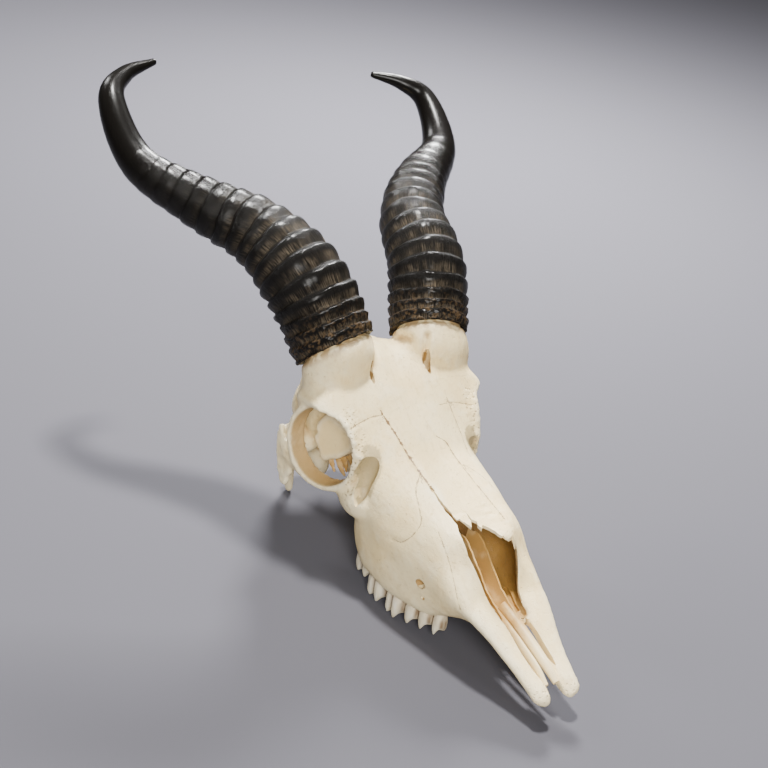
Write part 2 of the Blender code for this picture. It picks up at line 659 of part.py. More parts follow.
def main():
    for obj in list(bpy.data.objects):
        bpy.data.objects.remove(obj, do_unlink=True)
    where = collection("springbok_skull")
    cutters = collection("cutters")
    bone = principled("bone", (0.86, 0.80, 0.66), 0.55)
    horn = principled("horn", (0.022, 0.019, 0.016), 0.38)
    enamel = principled("enamel", (0.80, 0.73, 0.56), 0.35)
    skull(where, cutters, bone)
    horn_sheath("horn_sheath_left", HORN_LEFT, SHEATH_LEFT_RADII, where, horn, cutters)
    horn_sheath("horn_sheath_right", HORN_RIGHT, SHEATH_RIGHT_RADII, where, horn, cutters)
    for spec in TEETH:
        for side in (1, -1):
            bm = bmesh.new()
            tooth(bm, spec)
            bmesh.ops.scale(bm, vec=(side, 1, 1), verts=bm.verts)
            finish(bm, sided(spec[0], side), where, enamel)


main()
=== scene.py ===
"""Springbok skull, dressed: bone, ringed horn sheaths and cheek teeth.

+X is the animal's left, -Y is the way the nose points and +Z is up. Shapes are
given in millimetres and made in metres.
"""

import math

import bmesh
import bpy
import numpy as np
from mathutils import Matrix, Vector, noise


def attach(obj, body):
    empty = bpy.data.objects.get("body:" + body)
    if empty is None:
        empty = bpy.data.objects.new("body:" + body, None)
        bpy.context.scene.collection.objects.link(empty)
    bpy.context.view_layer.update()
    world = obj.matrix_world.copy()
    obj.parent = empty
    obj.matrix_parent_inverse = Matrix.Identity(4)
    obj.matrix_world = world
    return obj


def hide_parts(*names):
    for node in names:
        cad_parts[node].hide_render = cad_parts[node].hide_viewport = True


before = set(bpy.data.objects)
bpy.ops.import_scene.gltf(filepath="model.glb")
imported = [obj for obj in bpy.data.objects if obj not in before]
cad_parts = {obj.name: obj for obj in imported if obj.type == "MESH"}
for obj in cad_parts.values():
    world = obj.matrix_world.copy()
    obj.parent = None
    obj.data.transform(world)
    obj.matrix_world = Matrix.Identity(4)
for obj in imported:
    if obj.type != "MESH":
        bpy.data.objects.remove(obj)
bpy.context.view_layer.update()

MM = 0.001
WELD = 1e-6

# Bone: voxel sizes of the first and the final skin, and how far each is relaxed
FORM_VOXEL = 1.25
SKIN_VOXEL = 1.1
FORM_RELAX = 4
SKIN_RELAX = 2

# Face, front to back: distance along Y, then half-width and height of eight points from
# the middle of the roof round to the middle of the palate
FACE_STATIONS = (
    (-118, ((0, 27), (7, 27), (13.5, 30), (17.5, 30), (19, 28.8), (16.5, 25.5), (9, 22.5), (0, 22.5))),
    (-108, ((0, 33), (9, 33), (15.5, 35.5), (20.3, 34.5), (22.5, 31), (19, 25), (10, 22), (0, 22.5))),
    (-95, ((0, 52.2), (11.2, 51.8), (14.8, 45.8), (22.8, 41), (25.4, 31), (21, 19.3), (12, 18), (0, 21))),
    (-86, ((0, 54.8), (12, 55.4), (19, 53.3), (24.3, 46.5), (26.8, 33), (23.5, 14.5), (14, 13), (0, 19))),
    (-72, ((0, 58.8), (12, 58.8), (21, 56.5), (27, 49), (30, 35), (28.5, 13.5), (18, 12), (0, 18))),
    (-55, ((0, 63.8), (12, 63.8), (23, 60), (30, 52), (33, 37), (31.5, 13.5), (20, 12), (0, 17))),
    (-40, ((0, 68), (12, 68), (24, 63.5), (31, 55), (33, 40), (31, 15), (20, 12), (0, 17))),
    (-29, ((0, 75), (14, 75), (24, 71), (30, 60), (31, 42), (27, 19), (17, 14), (0, 19))),
    (-20, ((0, 81), (14, 81), (20, 76), (22, 62), (21, 46), (18, 27), (12, 20), (0, 24))),
    (-8, ((0, 88), (12, 88), (16, 80), (17, 64), (16, 48), (13, 34), (9, 27), (0, 28))),
    (10, ((0, 94), (12, 94), (19, 86), (21, 68), (19, 50), (15, 36), (9, 29), (0, 29))),
    (24, ((0, 90), (10, 90), (18, 84), (22, 68), (20, 50), (14, 34), (8, 28), (0, 28))),
)

# Roof between and over the orbits: distance along Y, then the upper surface from the
# middle out to the brow
BROW_STATIONS = (
    (-34, ((0, 71.5), (12, 71.5), (20, 69.5), (27, 67), (33, 64))),
    (-24, ((0, 78.2), (14, 78.5), (26, 77), (35, 75), (39.5, 72))),
    (-12, ((0, 87), (16, 88.5), (30, 88.5), (41, 86), (46.3, 82.5))),
    (-4, ((0, 91.5), (16, 94.5), (30, 97), (41, 89), (47, 82))),
    (2, ((0, 95), (16, 98.5), (31, 99), (42, 89), (47, 81))),
    (10, ((0, 98.6), (13, 99.5), (28, 96), (40, 88), (46.2, 79))),
    (18, ((0, 98.5), (9, 97), (20, 88), (33, 83), (39, 76))),
    (26, ((0, 95.5), (8, 94), (16, 87), (24, 81), (29, 76))),
)
BROW_THICKNESS = 7.0

# Orbit: a tube of bone whose mouth faces outward and a little forward
ORBIT_CENTRE = (43.0, -11.0, 62.0)
ORBIT_AXIS = (0.943, -0.326, 0.065)
ORBIT_RADIUS = 19.0
ORBIT_WALL = 2.6
ORBIT_DEPTH = 11.0

# Braincase and the pieces round its base, each a centre and three half-sizes
BRAINCASE = ((0, 26, 61), (29.5, 29, 33))
CREST = ((0, 51, 74), (24, 4, 5))
OCCIPUT_PLATE = ((0, 47, 52), (24, 7.5, 22))
SKULL_BASE = ((0, 26, 31), (9, 26, 6))
CONDYLE = ((10, 52.5, 37), (6.2, 6.6, 9))
BULLA = ((15.5, 33, 24.5), (7, 10.5, 9))
EAR_TUBE = ((24, 33, 40), (9, 6, 6))
JAW_SOCKET = ((31, 24, 42), (10, 7, 4.5))
MALAR = ((32.5, -30, 43), (5.5, 12, 8))

# Slim limbs of bone: centre, half-size one way and half-size across
PAROCCIPITAL = (
    ((20, 45, 38), 6.5, 5.0),
    ((21.5, 46, 26), 5.5, 3.2),
    ((22, 45, 14), 4.2, 2.4),
    ((22, 43.5, 3), 2.8, 2.1),
    ((22, 43, -0.45), 1.7, 1.5),
)
CHEEK_ARCH = (
    ((41.5, -8, 41.5), 3.0, 2.2),
    ((44.3, 4, 44.5), 4.4, 2.2),
    ((45.5, 14, 47.5), 5.4, 2.1),
    ((42.5, 23, 49), 5.0, 2.2),
    ((36, 29, 47), 4.6, 3.0),
    ((27, 31, 45), 4.6, 4.5),
)
CHEEK_FLAKE_X = (43.3, 46.6)
CHEEK_FLAKE = (
    (21.2, 58.2), (22.6, 52), (21.6, 47), (21.8, 41.5), (19.2, 36.5), (18.6, 31.5), (16.4, 32.6),
    (15.2, 27.2), (13.2, 29.6), (11.6, 26.6), (9.9, 30.2), (9.2, 34.0), (6.8, 37.2), (8.2, 40.4),
    (7.6, 44.5), (10.2, 47.5), (14, 51), (17.5, 54), (19.3, 57.2),
)
# Inner wall of the eye socket, forward and up across its mouth, and the thin spikes below it
SOCKET_WALL = (
    (-12.3, 7.1), (-14.8, 2.5), (-15.1, -0.3), (-13.4, -3.2), (-15.0, -5.0), (-13.3, -8.7), (-11.0, -11.0),
    (-8.2, -15.2), (-6.2, -15.0), (-2.6, -12.0), (0.8, -10.6), (4.9, -6.5), (7.8, -4.0), (10.8, -1.6),
    (9.0, 3.3), (4.2, 7.2), (-3.2, 9.4), (-8.8, 10.2),
)
SOCKET_SPIKES = (
    (((-4.4, -12.0, 17.0), 2.0), ((-3.4, -15.5, 17.2), 1.5), ((-1.2, -19.0, 17.6), 0.4)),
    (((0.2, -11.0, 16.6), 2.0), ((2.4, -14.6, 16.8), 1.6), ((5.4, -18.2, 17.2), 0.4)),
    (((3.0, -8.6, 16.2), 1.9), ((5.0, -11.6, 16.4), 1.4), ((6.0, -15.4, 16.8), 0.4)),
    (((6.0, -6.0, 15.8), 1.8), ((8.0, -8.4, 16.0), 1.2), ((9.6, -11.2, 16.2), 0.4)),
)
SPIKE_THICKNESS = 0.65
PTERYGOID = (((10, -24, 19), 5.5, 1.8), ((9.5, -10, 22), 6.0, 1.5), ((10, 1, 25), 5.5, 1.6))
HAMULUS = (((10, -1, 22), 2.4, 1.4), ((10.3, 0, 17), 1.5, 1.1), ((10.8, 1.5, 13), 0.8, 0.8))
PRONG = (
    ((9.0, -155.4, 11.6), 3.0, 1.8),
    ((8.4, -153.5, 12.4), 4.6, 2.6),
    ((8.0, -149, 14.4), 5.3, 3.2),
    ((9.3, -141, 17.8), 5.2, 3.0),
    ((10.6, -132, 21.4), 5.8, 2.9),
    ((12.1, -122, 25.8), 6.9, 3.2),
    ((13.9, -112, 29.3), 7.9, 3.9),
    ((15.2, -102, 30.4), 8.6, 5.6),
)
PRONG_TILT = -8.0
ROD = (
    ((3.0, -148.5, 15.0), 1.5, 1.5),
    ((2.7, -141, 18.0), 1.8, 2.2),
    ((2.8, -130, 20.8), 2.0, 2.6),
    ((2.9, -118, 23.2), 2.1, 3.0),
    ((3.0, -106, 24.4), 2.1, 3.8),
)

# Nasal passage, and the opening that the broken nose leaves
PASSAGE_STATIONS = (
    (-48, ((0, 44), (4, 43), (6, 38), (4, 33), (0, 32))),
    (-60, ((0, 57), (9, 56.5), (19, 44), (13, 26), (0, 24.5))),
    (-74, ((0, 56.6), (12.5, 56.2), (24, 43), (17.5, 24), (0, 23))),
    (-86, ((0, 53.1), (13, 53), (22, 41), (16.5, 24), (0, 23.5))),
    (-96, ((0, 50.2), (9.4, 49.6), (16.6, 35), (14, 25.5), (0, 24))),
    (-106, ((0, 34), (7.4, 33), (12.4, 31), (10, 26.3), (0, 24))),
    (-118, ((0, 29), (5, 28.8), (7.6, 27.6), (6, 25), (0, 22.5))),
)
NOSE_FLOOR = 24.3
FLOOR_END = -117.0
ABOVE, BELOW = 95.0, 5.0
RIM = (
    (-85.5, 12.9), (-90, 13.6), (-94.6, 13.4), (-99, 12.2), (-102, 11.0), (-107, 9.0),
    (-112, 8.0), (-120, 6.6), (-128, 5.6), (-136, 4.9), (-146, 4.2), (-160, 3.6),
)
# Broken edge of the nose bones seen from above, the animal's left to right
BROKEN_EDGE = (
    (12.2, -92.6), (10.6, -93.6), (8.8, -94.4), (7.1, -94.0), (6.5, -92.5), (5.5, -92.7), (4.6, -91.0),
    (4.4, -89.3), (3.1, -86.4), (0.9, -83.9), (-0.5, -85.7), (-1.4, -83.5), (-0.7, -81.5), (-2.4, -80.1),
    (-2.8, -77.2), (-3.0, -75.4), (-3.5, -79.3), (-3.4, -80.7), (-5.3, -84.0), (-8.3, -78.3),
    (-9.9, -78.5), (-11.2, -80.5), (-12.6, -84.0), (-13.1, -86.0),
)
CRACK = ((-11.8, -58, 63.4), (-11.8, -65.3, 61.0), (-11.2, -73, 58.8), (-10.6, -82, 56.4))
CRACK_WIDTH = (0.5, 1.2, 1.5, 2.0)
CRACK_ABOVE, CRACK_DEPTH = 3.0, 7.0

# Openings: centre and half-sizes
BROW_SLIT = ((16.0, -4.0, 94.5), (1.25, 5.5, 6.5))
TEAR_PIT = (
    ((30, -35.5, 70.5), 1.2, 4.0), ((31, -35.5, 66), 3.5, 5.4), ((32, -35.0, 59), 4.9, 6.0),
    ((33, -35.6, 52), 4.0, 5.6), ((33.5, -37, 46.5), 1.9, 4.0), ((33.5, -38, 43), 0.5, 2.0),
)
CHEEK_HOLES = (((27.2, -82.8, 29.5), (6.0, 2.5, 2.1)), ((27.0, -84.8, 22.8), (3.6, 0.9, 0.9)))
CHOANA = ((0, -9, 19), (8.0, 16.0, 7.0))
SPINE_HOLE = ((0, 57, 45.5), (8.2, 22, 7.6))
EAR_HOLE = ((34, 33, 40.5), (7.0, 2.6, 2.6))
ROD_SLIT = ((5.9, -128, 20), (1.0, 15, 9))

# Horns: seven evenly spaced points along the middle of each, and the radius at each
HORN_LEFT = (
    (27.0, 12.2, 101.9), (36.0, 35.1, 126.3), (44.4, 63.9, 138.2), (63.4, 88.7, 146.7),
    (86.9, 108.4, 158.5), (92.0, 133.5, 176.3), (80.8, 142.9, 183.8), (65.5, 152.0, 186.4),
)
HORN_RIGHT = (
    (-27.7, 9.9, 101.5), (-34.5, 32.6, 125.8), (-44.9, 61.4, 139.5), (-65.6, 88.1, 147.3),
    (-87.1, 111.9, 159.6), (-91.7, 136.5, 181.9), (-81.1, 147.8, 191.2), (-63.2, 151.3, 196.7),
)
SHEATH_LEFT_RADII = (19.1, 18.4, 15.9, 13.8, 9.4, 6.0, 1.5)
SHEATH_RIGHT_RADII = (19.6, 19.7, 16.0, 12.3, 8.9, 6.3, 1.5)
HORN_RING_PLACES = (
    0.008, 0.035, 0.062, 0.092, 0.127, 0.165, 0.206, 0.248, 0.291, 0.335, 0.379, 0.423,
    0.466, 0.508, 0.548, 0.586, 0.622,
)
HORN_RING_HEIGHT = 0.095
HORN_RING_FADE = 0.42
HORN_AROUND = 150
HORN_ALONG = 460
CORE_RADII = (15.7, 15.4, 13.3, 10.6, 7.4, 4.7, 1.0)
CORE_LENGTH_SHARE = 0.3
ROOM_RADII = (22.5, 22.0, 19.3)
PEDICLE_RADIUS = 17.6
PEDICLE_TOP_DEPTHS = (2.5, -1.0)
PEDICLE_FOOT = (
    ((28.0, 6.5, 95.5), 15.8, 17.2),
    ((28.0, 5.0, 87.0), 14.2, 17.0),
    ((27.0, 5.0, 77.0), 13.0, 15.0),
)
SHEATH_GAP = 0.8

# Upper cheek teeth: middle along Y, middle across, length, width, tip height
TEETH = (
    ("premolar_2", -90.1, 17.8, 5.8, 6.5, 4.4),
    ("premolar_3", -83.4, 20.0, 6.8, 8.0, 3.6),
    ("premolar_4", -75.9, 21.6, 7.4, 9.5, 1.9),
    ("molar_1", -65.6, 23.2, 12.4, 11.5, 0.0),
    ("molar_2", -51.7, 23.9, 14.4, 12.0, 0.0),
    ("molar_3", -36.7, 22.2, 14.6, 10.5, 3.2),
)
GUM_LINE = 13.0

# Seams between the bones, as routes on the surface; the last value is the seam's strength
SEAMS = (
    (((-16.9, -20.7, 81.0), (-14.1, -29.3, 74.5), (-12.1, -40.2, 68.0), (-11.8, -52, 64.5), (-11.8, -59, 63)), 1.5),
    (((7.9, -34.7, 71.3), (10.7, -38, 69.3), (10.8, -49, 65.3), (11.5, -60.4, 62.1),
      (12.8, -73.3, 58.3), (13.3, -87, 52)), 0.75),
    (((20.6, -20.2, 81.2), (21.4, -27.7, 74.7), (22, -35.8, 67.5), (21.3, -41.8, 64.4)), 0.45),
    (((-17.1, -21.1, 80.7), (-22.9, -20.8, 80.5), (-28.6, -21.3, 79.2), (-34.7, -22.9, 78)), 0.6),
    (((17.1, -21.1, 80.7), (22.9, -20.8, 80.5), (28.6, -21.3, 79.2), (34.7, -22.9, 78)), 0.4),
    (((-12.7, -50.5, 64.6), (-18.5, -56.8, 61.5), (-21.5, -64.8, 58.1), (-23.9, -71.2, 54.1),
      (-27.5, -71.1, 47.9), (-29.7, -67.6, 42.8), (-30.7, -64.3, 41.9)), 0.55),
    (((12.7, -50.5, 64.6), (19, -57.5, 61.2), (22.5, -66, 57.5), (26.5, -70, 49.5), (30.5, -64, 41.5)), 0.45),
    (((-20.7, -81.9, 53.3), (-21.3, -89.8, 48.6), (-21.5, -95.5, 43.4), (-23.4, -106, 33)), 0.45),
    (((20.7, -81.9, 53.3), (21.3, -89.8, 48.6), (21.5, -95.5, 43.4), (23.4, -106, 33)), 0.35),
    (((0, 27, 94.5), (12, 24, 91), (22, 20, 84), (28, 16, 74)), 0.6),
    (((0, 27, 94.5), (-12, 24, 91), (-22, 20, 84), (-28, 16, 74)), 0.6),
    (((0, 27, 94.5), (0, 40, 90.5), (0, 50, 79)), 0.35),
)
SEAM_REACH = 3.0
# Serrated, rough-edged bone round the front of the orbits
ROUGH_RIM = ((34.6, -18.1, 81.6), (33.5, -22.8, 77.7), (33.1, -26.7, 73.4), (34.4, -30.4, 67.8), (35, -28.4, 58.6))
ROUGH_REACH = 5.5
PIT_RIM_SHIFT = (3.0, 5.5, -1.0)
# Shallow grooves and hollows, carved and darkened with painted shade: route, reach and depth
GROOVES = (
    (((16.2, -0.8, 107.8), (15.3, -2.5, 103.3), (15, -3.4, 98.5), (16.5, -3.7, 93)), 1.7, 1.4),
    (((-13.5, 0.5, 106), (-14.5, -2, 102), (-14, -2.5, 97)), 1.7, 1.0),
    (((9.2, 11, 102.4), (10.1, 5.4, 102.8)), 3.0, 1.6),
)

# Camera: place, and the way right, up and ahead of the picture
CAMERA_PLACE = (-356.22, -475.26, 394.53)
CAMERA_RIGHT = (0.83748, -0.52735, 0.14324)
CAMERA_UP = (0.14334, 0.46494, 0.87366)
CAMERA_AHEAD = (0.52733, 0.71115, -0.46497)
CAMERA_LENS = 65.32


def smooth_through(points, count):
    """Evenly stepped samples of a smooth curve through the points."""
    points = np.asarray(points, float)
    padded = np.vstack([2 * points[0] - points[1], points, 2 * points[-1] - points[-2]])
    steps = np.linspace(0, len(points) - 1, count)
    index = np.minimum(steps.astype(int), len(points) - 2)
    t = (steps - index)[:, None]
    a, b, c, d = (padded[index + k] for k in range(4))
    return 0.5 * (2 * b + (c - a) * t + (2 * a - 5 * b + 4 * c - d) * t**2 + (3 * b - a - 3 * c + d) * t**3)


def even_steps(points, count):
    """Points evenly spaced along a smooth curve through the given ones."""
    fine = smooth_through(points, 40 * count)
    reach = np.concatenate([[0], np.cumsum(np.linalg.norm(np.diff(fine, axis=0), axis=1))])
    wanted = np.linspace(0, reach[-1], count)
    return np.column_stack([np.interp(wanted, reach, fine[:, k]) for k in range(fine.shape[1])])


def ripple(point, size, seed=0.0):
    """Smooth noise between about -1 and 1 with lumps of the given size in millimetres."""
    return noise.noise(Vector(point) / size + Vector((seed, 1.7 * seed, -seed)))


def skin(bm, rings):
    """Closed skin over rings of points: a flat grid rolled up, welded along its seam and capped."""
    along, around = len(rings), len(rings[0])
    sheet = bmesh.ops.create_grid(bm, x_segments=around, y_segments=along - 1, size=1.0)["verts"]
    for vert in sheet:
        i = round((0.5 + 0.5 * vert.co.x) * around) % around
        j = round((0.5 + 0.5 * vert.co.y) * (along - 1))
        vert.co = Vector(rings[j][i]) * MM
    bmesh.ops.remove_doubles(bm, verts=sheet, dist=WELD)
    sheet = [vert for vert in sheet if vert.is_valid]
    rims = {edge for vert in sheet for edge in vert.link_edges if edge.is_boundary}
    bmesh.ops.holes_fill(bm, edges=list(rims), sides=0)
    return sheet


def blob(bm, spec, tilt=0.0, segments=40):
    centre, radii = spec
    made = bmesh.ops.create_uvsphere(bm, u_segments=segments, v_segments=segments // 2, radius=1.0)["verts"]
    bmesh.ops.scale(bm, vec=Vector(radii) * MM, verts=made)
    bmesh.ops.rotate(bm, cent=(0, 0, 0), matrix=Matrix.Rotation(math.radians(tilt), 3, "X"), verts=made)
    bmesh.ops.translate(bm, vec=Vector(centre) * MM, verts=made)
    return made


def mirrored_ring(half, y, count):
    side = smooth_through(half, count)
    return [(x, y, z) for x, z in side] + [(-x, y, z) for x, z in side[-2:0:-1]]


def station_skin(bm, stations, along, around):
    ys = smooth_through([[y] for y, _ in stations], along)[:, 0]
    halves = smooth_through([np.ravel(half) for _, half in stations], along)
    return skin(bm, [mirrored_ring(half.reshape(-1, 2), y, around) for half, y in zip(halves, ys)])


def limb(bm, stations, wide_axis, along=30, around=24, tilt=0.0):
    """Smooth bar through stations of (centre, half-size along wide_axis, half-size across it)."""
    rows = smooth_through([(*centre, wide, thin) for centre, wide, thin in stations], along)
    rings = []
    for i, row in enumerate(rows):
        ahead = Vector(rows[min(i + 1, along - 1)][:3] - rows[max(i - 1, 0)][:3]).normalized()
        wide = Matrix.Rotation(math.radians(tilt), 3, ahead) @ Vector(wide_axis)
        wide = (wide - wide.dot(ahead) * ahead).normalized()
        thin = ahead.cross(wide)
        turns = [2 * math.pi * k / around for k in range(around)]
        rings.append(
            [Vector(row[:3]) + wide * row[3] * math.cos(a) + thin * row[4] * math.sin(a) for a in turns]
        )
    return skin(bm, rings)


def other_side(bm, verts):
    """Adds the mirror image of the geometry on the animal's right."""
    faces = {face for vert in verts for face in vert.link_faces}
    copy = bmesh.ops.duplicate(bm, geom=list(set(verts)) + list(faces))["geom"]
    bmesh.ops.scale(bm, vec=(-1, 1, 1), verts=[item for item in copy if isinstance(item, bmesh.types.BMVert)])


def into_object(bm, name):
    bmesh.ops.recalc_face_normals(bm, faces=bm.faces)
    mesh = bpy.data.meshes.new(name)
    bm.to_mesh(mesh)
    bm.free()
    obj = bpy.data.objects.new(name, mesh)
    bpy.context.scene.collection.objects.link(obj)
    return obj


def settle(obj):
    """Applies the object's modifiers and returns it."""
    graph = bpy.context.evaluated_depsgraph_get()
    mesh = bpy.data.meshes.new_from_object(obj.evaluated_get(graph))
    old = obj.data
    obj.modifiers.clear()
    obj.data = mesh
    bpy.data.meshes.remove(old)
    return obj


def remesh(obj, voxel, relax):
    fuse = obj.modifiers.new("fuse", "REMESH")
    fuse.mode = "VOXEL"
    fuse.voxel_size = voxel * MM
    soften = obj.modifiers.new("soften", "SMOOTH")
    soften.factor = 0.5
    soften.iterations = relax
    return settle(obj)


def carve(obj, *cutters, operation="DIFFERENCE"):
    """Cuts or joins the given shapes and removes them."""
    for cutter in cutters:
        boolean = obj.modifiers.new(cutter.name, "BOOLEAN")
        boolean.operation = operation
        boolean.object = cutter
        boolean.solver = "EXACT"
    settle(obj)
    for cutter in cutters:
        bpy.data.objects.remove(cutter)
    return obj


def cutter(name, make, *args, mirrored=False):
    bm = bmesh.new()
    verts = make(bm, *args)
    if mirrored:
        other_side(bm, verts)
    return into_object(bm, name)


def horn_path(points):
    path = smooth_through(points, 400)
    reach = np.concatenate([[0], np.cumsum(np.linalg.norm(np.diff(path, axis=0), axis=1))])
    return path, reach


def horn_frame(points, share):
    """Middle point, direction and front-facing normal at a share of the horn's length."""
    path, reach = horn_path(points)
    wanted = share * reach[-1]
    here, ahead, back = (
        Vector([np.interp(place, reach, path[:, k]) for k in range(3)])
        for place in (wanted, wanted + 1, max(wanted - 1, 0))
    )
    direction = (ahead - back).normalized()
    side = direction.cross(Vector((0, -0.7, 0.7))).normalized()
    return here, direction, side.cross(direction).normalized()


def radius_at(radii, share):
    """Radius at a share of the length, through radii at even steps of the whole of it."""
    fine = smooth_through(np.column_stack([np.linspace(0, 1, len(radii)), radii]), 121)
    return np.interp(share, fine[:, 0], fine[:, 1])


def pedicle(bm, points):
    here, direction, front = horn_frame(points, 0)
    side = math.copysign(1, here.x)
    stations = [((x * side, y, z), deep, wide) for (x, y, z), deep, wide in PEDICLE_FOOT[::-1]]
    for depth in PEDICLE_TOP_DEPTHS:
        stations.append((tuple(here - direction * depth), PEDICLE_RADIUS, PEDICLE_RADIUS))
    return limb(bm, stations, tuple(front), along=24, around=40)


def orbit_matrix(depth):
    axis = Vector(ORBIT_AXIS).normalized()
    turn = axis.to_track_quat("Z", "Y").to_matrix().to_4x4()
    return Matrix.Translation((Vector(ORBIT_CENTRE) - axis * depth) * MM) @ turn


def orbit_drum(bm, middle, inner, outer, depth, segments=72):
    made = bmesh.ops.create_cone(
        bm, cap_ends=True, segments=segments, radius1=inner * MM, radius2=outer * MM, depth=depth * MM
    )["verts"]
    bmesh.ops.transform(bm, matrix=orbit_matrix(middle), verts=made)
    return made


def brow(bm):
    rings = []
    ys = smooth_through([[y] for y, _ in BROW_STATIONS], 30)[:, 0]
    tops = smooth_through([np.ravel(top) for _, top in BROW_STATIONS], 30)
    for y, top in zip(ys, tops):
        over = smooth_through(top.reshape(-1, 2), 20)
        under = over - (0, BROW_THICKNESS)
        under[:, 0] *= 0.93
        rings.append(
            [(x, y, z) for x, z in over] + [(x, y, z) for x, z in under[::-1]]
            + [(-x, y, z) for x, z in under[1:]] + [(-x, y, z) for x, z in over[:0:-1]]
        )
    return skin(bm, rings)


def bone_forms():
    """All the bone that grew as one, still without its openings."""
    bm = bmesh.new()
    station_skin(bm, FACE_STATIONS, 60, 30)
    brow(bm)
    blob(bm, BRAINCASE, tilt=-12)
    blob(bm, CREST)
    blob(bm, OCCIPUT_PLATE, tilt=8)
    blob(bm, SKULL_BASE)
    sides = []
    for spec in (CONDYLE, BULLA, EAR_TUBE, JAW_SOCKET, MALAR):
        sides += blob(bm, spec)
    sides += limb(bm, PAROCCIPITAL, (0, 1, 0))
    sides += limb(bm, CHEEK_ARCH, (0, 0, 1))
    sides += cheek_flake(bm)
    sides += limb(bm, PTERYGOID, (0, 0, 1))
    sides += limb(bm, HAMULUS, (0, 1, 0))
    sides += limb(bm, PRONG, (1, 0, 0), tilt=PRONG_TILT)
    outside = ORBIT_RADIUS + ORBIT_WALL
    sides += orbit_drum(bm, ORBIT_DEPTH / 2, outside, outside, ORBIT_DEPTH)
    other_side(bm, sides)
    for points in (HORN_LEFT, HORN_RIGHT):
        pedicle(bm, points)
    return into_object(bm, "bone")


def prism(bm, outline, low, high):
    """Upright prism over an outline seen from above."""
    corners = [bm.verts.new((x * MM, y * MM, low * MM)) for x, y in outline]
    face = bm.faces.new(corners)
    wall = bmesh.ops.extrude_face_region(bm, geom=[face])["geom"]
    top = [item for item in wall if isinstance(item, bmesh.types.BMVert)]
    bmesh.ops.translate(bm, vec=(0, 0, (high - low) * MM), verts=top)
    bmesh.ops.triangulate(bm, faces=[face for face in bm.faces if len(face.verts) > 4])
    return list(bm.verts)


def nose_opening(bm):
    """Prism that opens the nose from above, with the broken edge behind."""
    rim = [point for point in RIM if point[0] > FLOOR_END]
    left = [(w, y) for y, w in rim if y < BROKEN_EDGE[0][1]]
    right = [(-w, y) for y, w in rim if y < BROKEN_EDGE[-1][1]]
    return prism(bm, list(BROKEN_EDGE) + right + left[::-1], NOSE_FLOOR, ABOVE)


def prong_gap(bm):
    rim = [point for point in RIM if point[0] < FLOOR_END + 5]
    outline = [(-w, y) for y, w in rim] + [(w, y) for y, w in rim[::-1]]
    return prism(bm, outline, BELOW, ABOVE)


def crack(bm):
    rows = even_steps(CRACK, 26)
    widths = np.interp(np.linspace(0, 1, 26), np.linspace(0, 1, len(CRACK_WIDTH)), CRACK_WIDTH)
    rings = []
    for (x, y, z), width in zip(rows, widths):
        shift = 0.35 * ripple((x, y, z), 1.6, 3)
        half = width / 2 * (1 + 0.35 * ripple((x, y, z), 2.5, 9))
        rings.append([(x + shift - half, y, z + CRACK_ABOVE),
                      (x + shift + half, y, z + CRACK_ABOVE),
                      (x + shift + half, y, z - CRACK_DEPTH), (x + shift - half, y, z - CRACK_DEPTH)])
    return skin(bm, rings)


def sheath_room(bm, points):
    """Space round the sheath's foot, cut from the bone."""
    rings = []
    for share in (0.0, 0.06, 0.12, 0.18, 0.24):
        here, direction, front = horn_frame(points, share)
        side = direction.cross(front)
        radius = float(np.interp(share, (0.0, 0.12, 0.24), ROOM_RADII))
        rings.append([here + (front * math.cos(a) + side * math.sin(a)) * radius
                      for a in np.linspace(0, 2 * math.pi, 48, endpoint=False)])
    direction = horn_frame(points, 0)[1]
    return skin(bm, [[point - direction * SHEATH_GAP for point in rings[0]]] + rings)


def horn_core(bm, points):
    """Bony core inside the foot of the sheath, hidden but for its rim."""
    rings = []
    for share in np.linspace(0, CORE_LENGTH_SHARE, 8):
        here, direction, front = horn_frame(points, share)
        side = direction.cross(front)
        radius = float(radius_at(CORE_RADII, share))
        foot = direction * (6.0 if share == 0 else 0.0)
        rings.append([here - foot + (front * math.cos(a) + side * math.sin(a)) * radius
                      for a in np.linspace(0, 2 * math.pi, 32, endpoint=False)])
    return skin(bm, rings)


def socket_point(forward, up, depth):
    """A place in the left eye socket: forward and up across its mouth, and how deep in."""
    axis = Vector(ORBIT_AXIS).normalized()
    ahead = axis.cross(Vector((0, 0, 1))).normalized()
    return Vector(ORBIT_CENTRE) + ahead * forward + ahead.cross(axis) * up - axis * depth


def socket_wall(bm):
    """Lobed inner wall of the socket, its ragged front edge seen through the ring."""
    outline = smooth_through(SOCKET_WALL + SOCKET_WALL[:1], 73)[:-1]
    middle = outline.mean(axis=0)
    rings = []
    for depth, share in ((14.2, 0.9), (15.0, 0.98), (17.0, 1.0), (21.0, 0.97), (27.0, 0.85)):
        rings.append([socket_point(*(middle + (point - middle) * share), depth) for point in outline])
    return skin(bm, rings)


def cheek_flake(bm):
    """Broken rear piece of the cheek arch: a thin plate with a ragged edge."""
    corners = [bm.verts.new(Vector((CHEEK_FLAKE_X[0], y, z)) * MM) for y, z in CHEEK_FLAKE]
    wall = bmesh.ops.extrude_face_region(bm, geom=[bm.faces.new(corners)])["geom"]
    far = [item for item in wall if isinstance(item, bmesh.types.BMVert)]
    bmesh.ops.translate(bm, vec=((CHEEK_FLAKE_X[1] - CHEEK_FLAKE_X[0]) * MM, 0, 0), verts=far)
    return corners + far


def points_of(mesh):
    co = np.empty(len(mesh.vertices) * 3, np.float32)
    mesh.vertices.foreach_get("co", co)
    return co.reshape(-1, 3) / MM


def normals_of(mesh):
    normal = np.empty(len(mesh.vertices) * 3, np.float32)
    mesh.vertices.foreach_get("normal", normal)
    return normal.reshape(-1, 3)


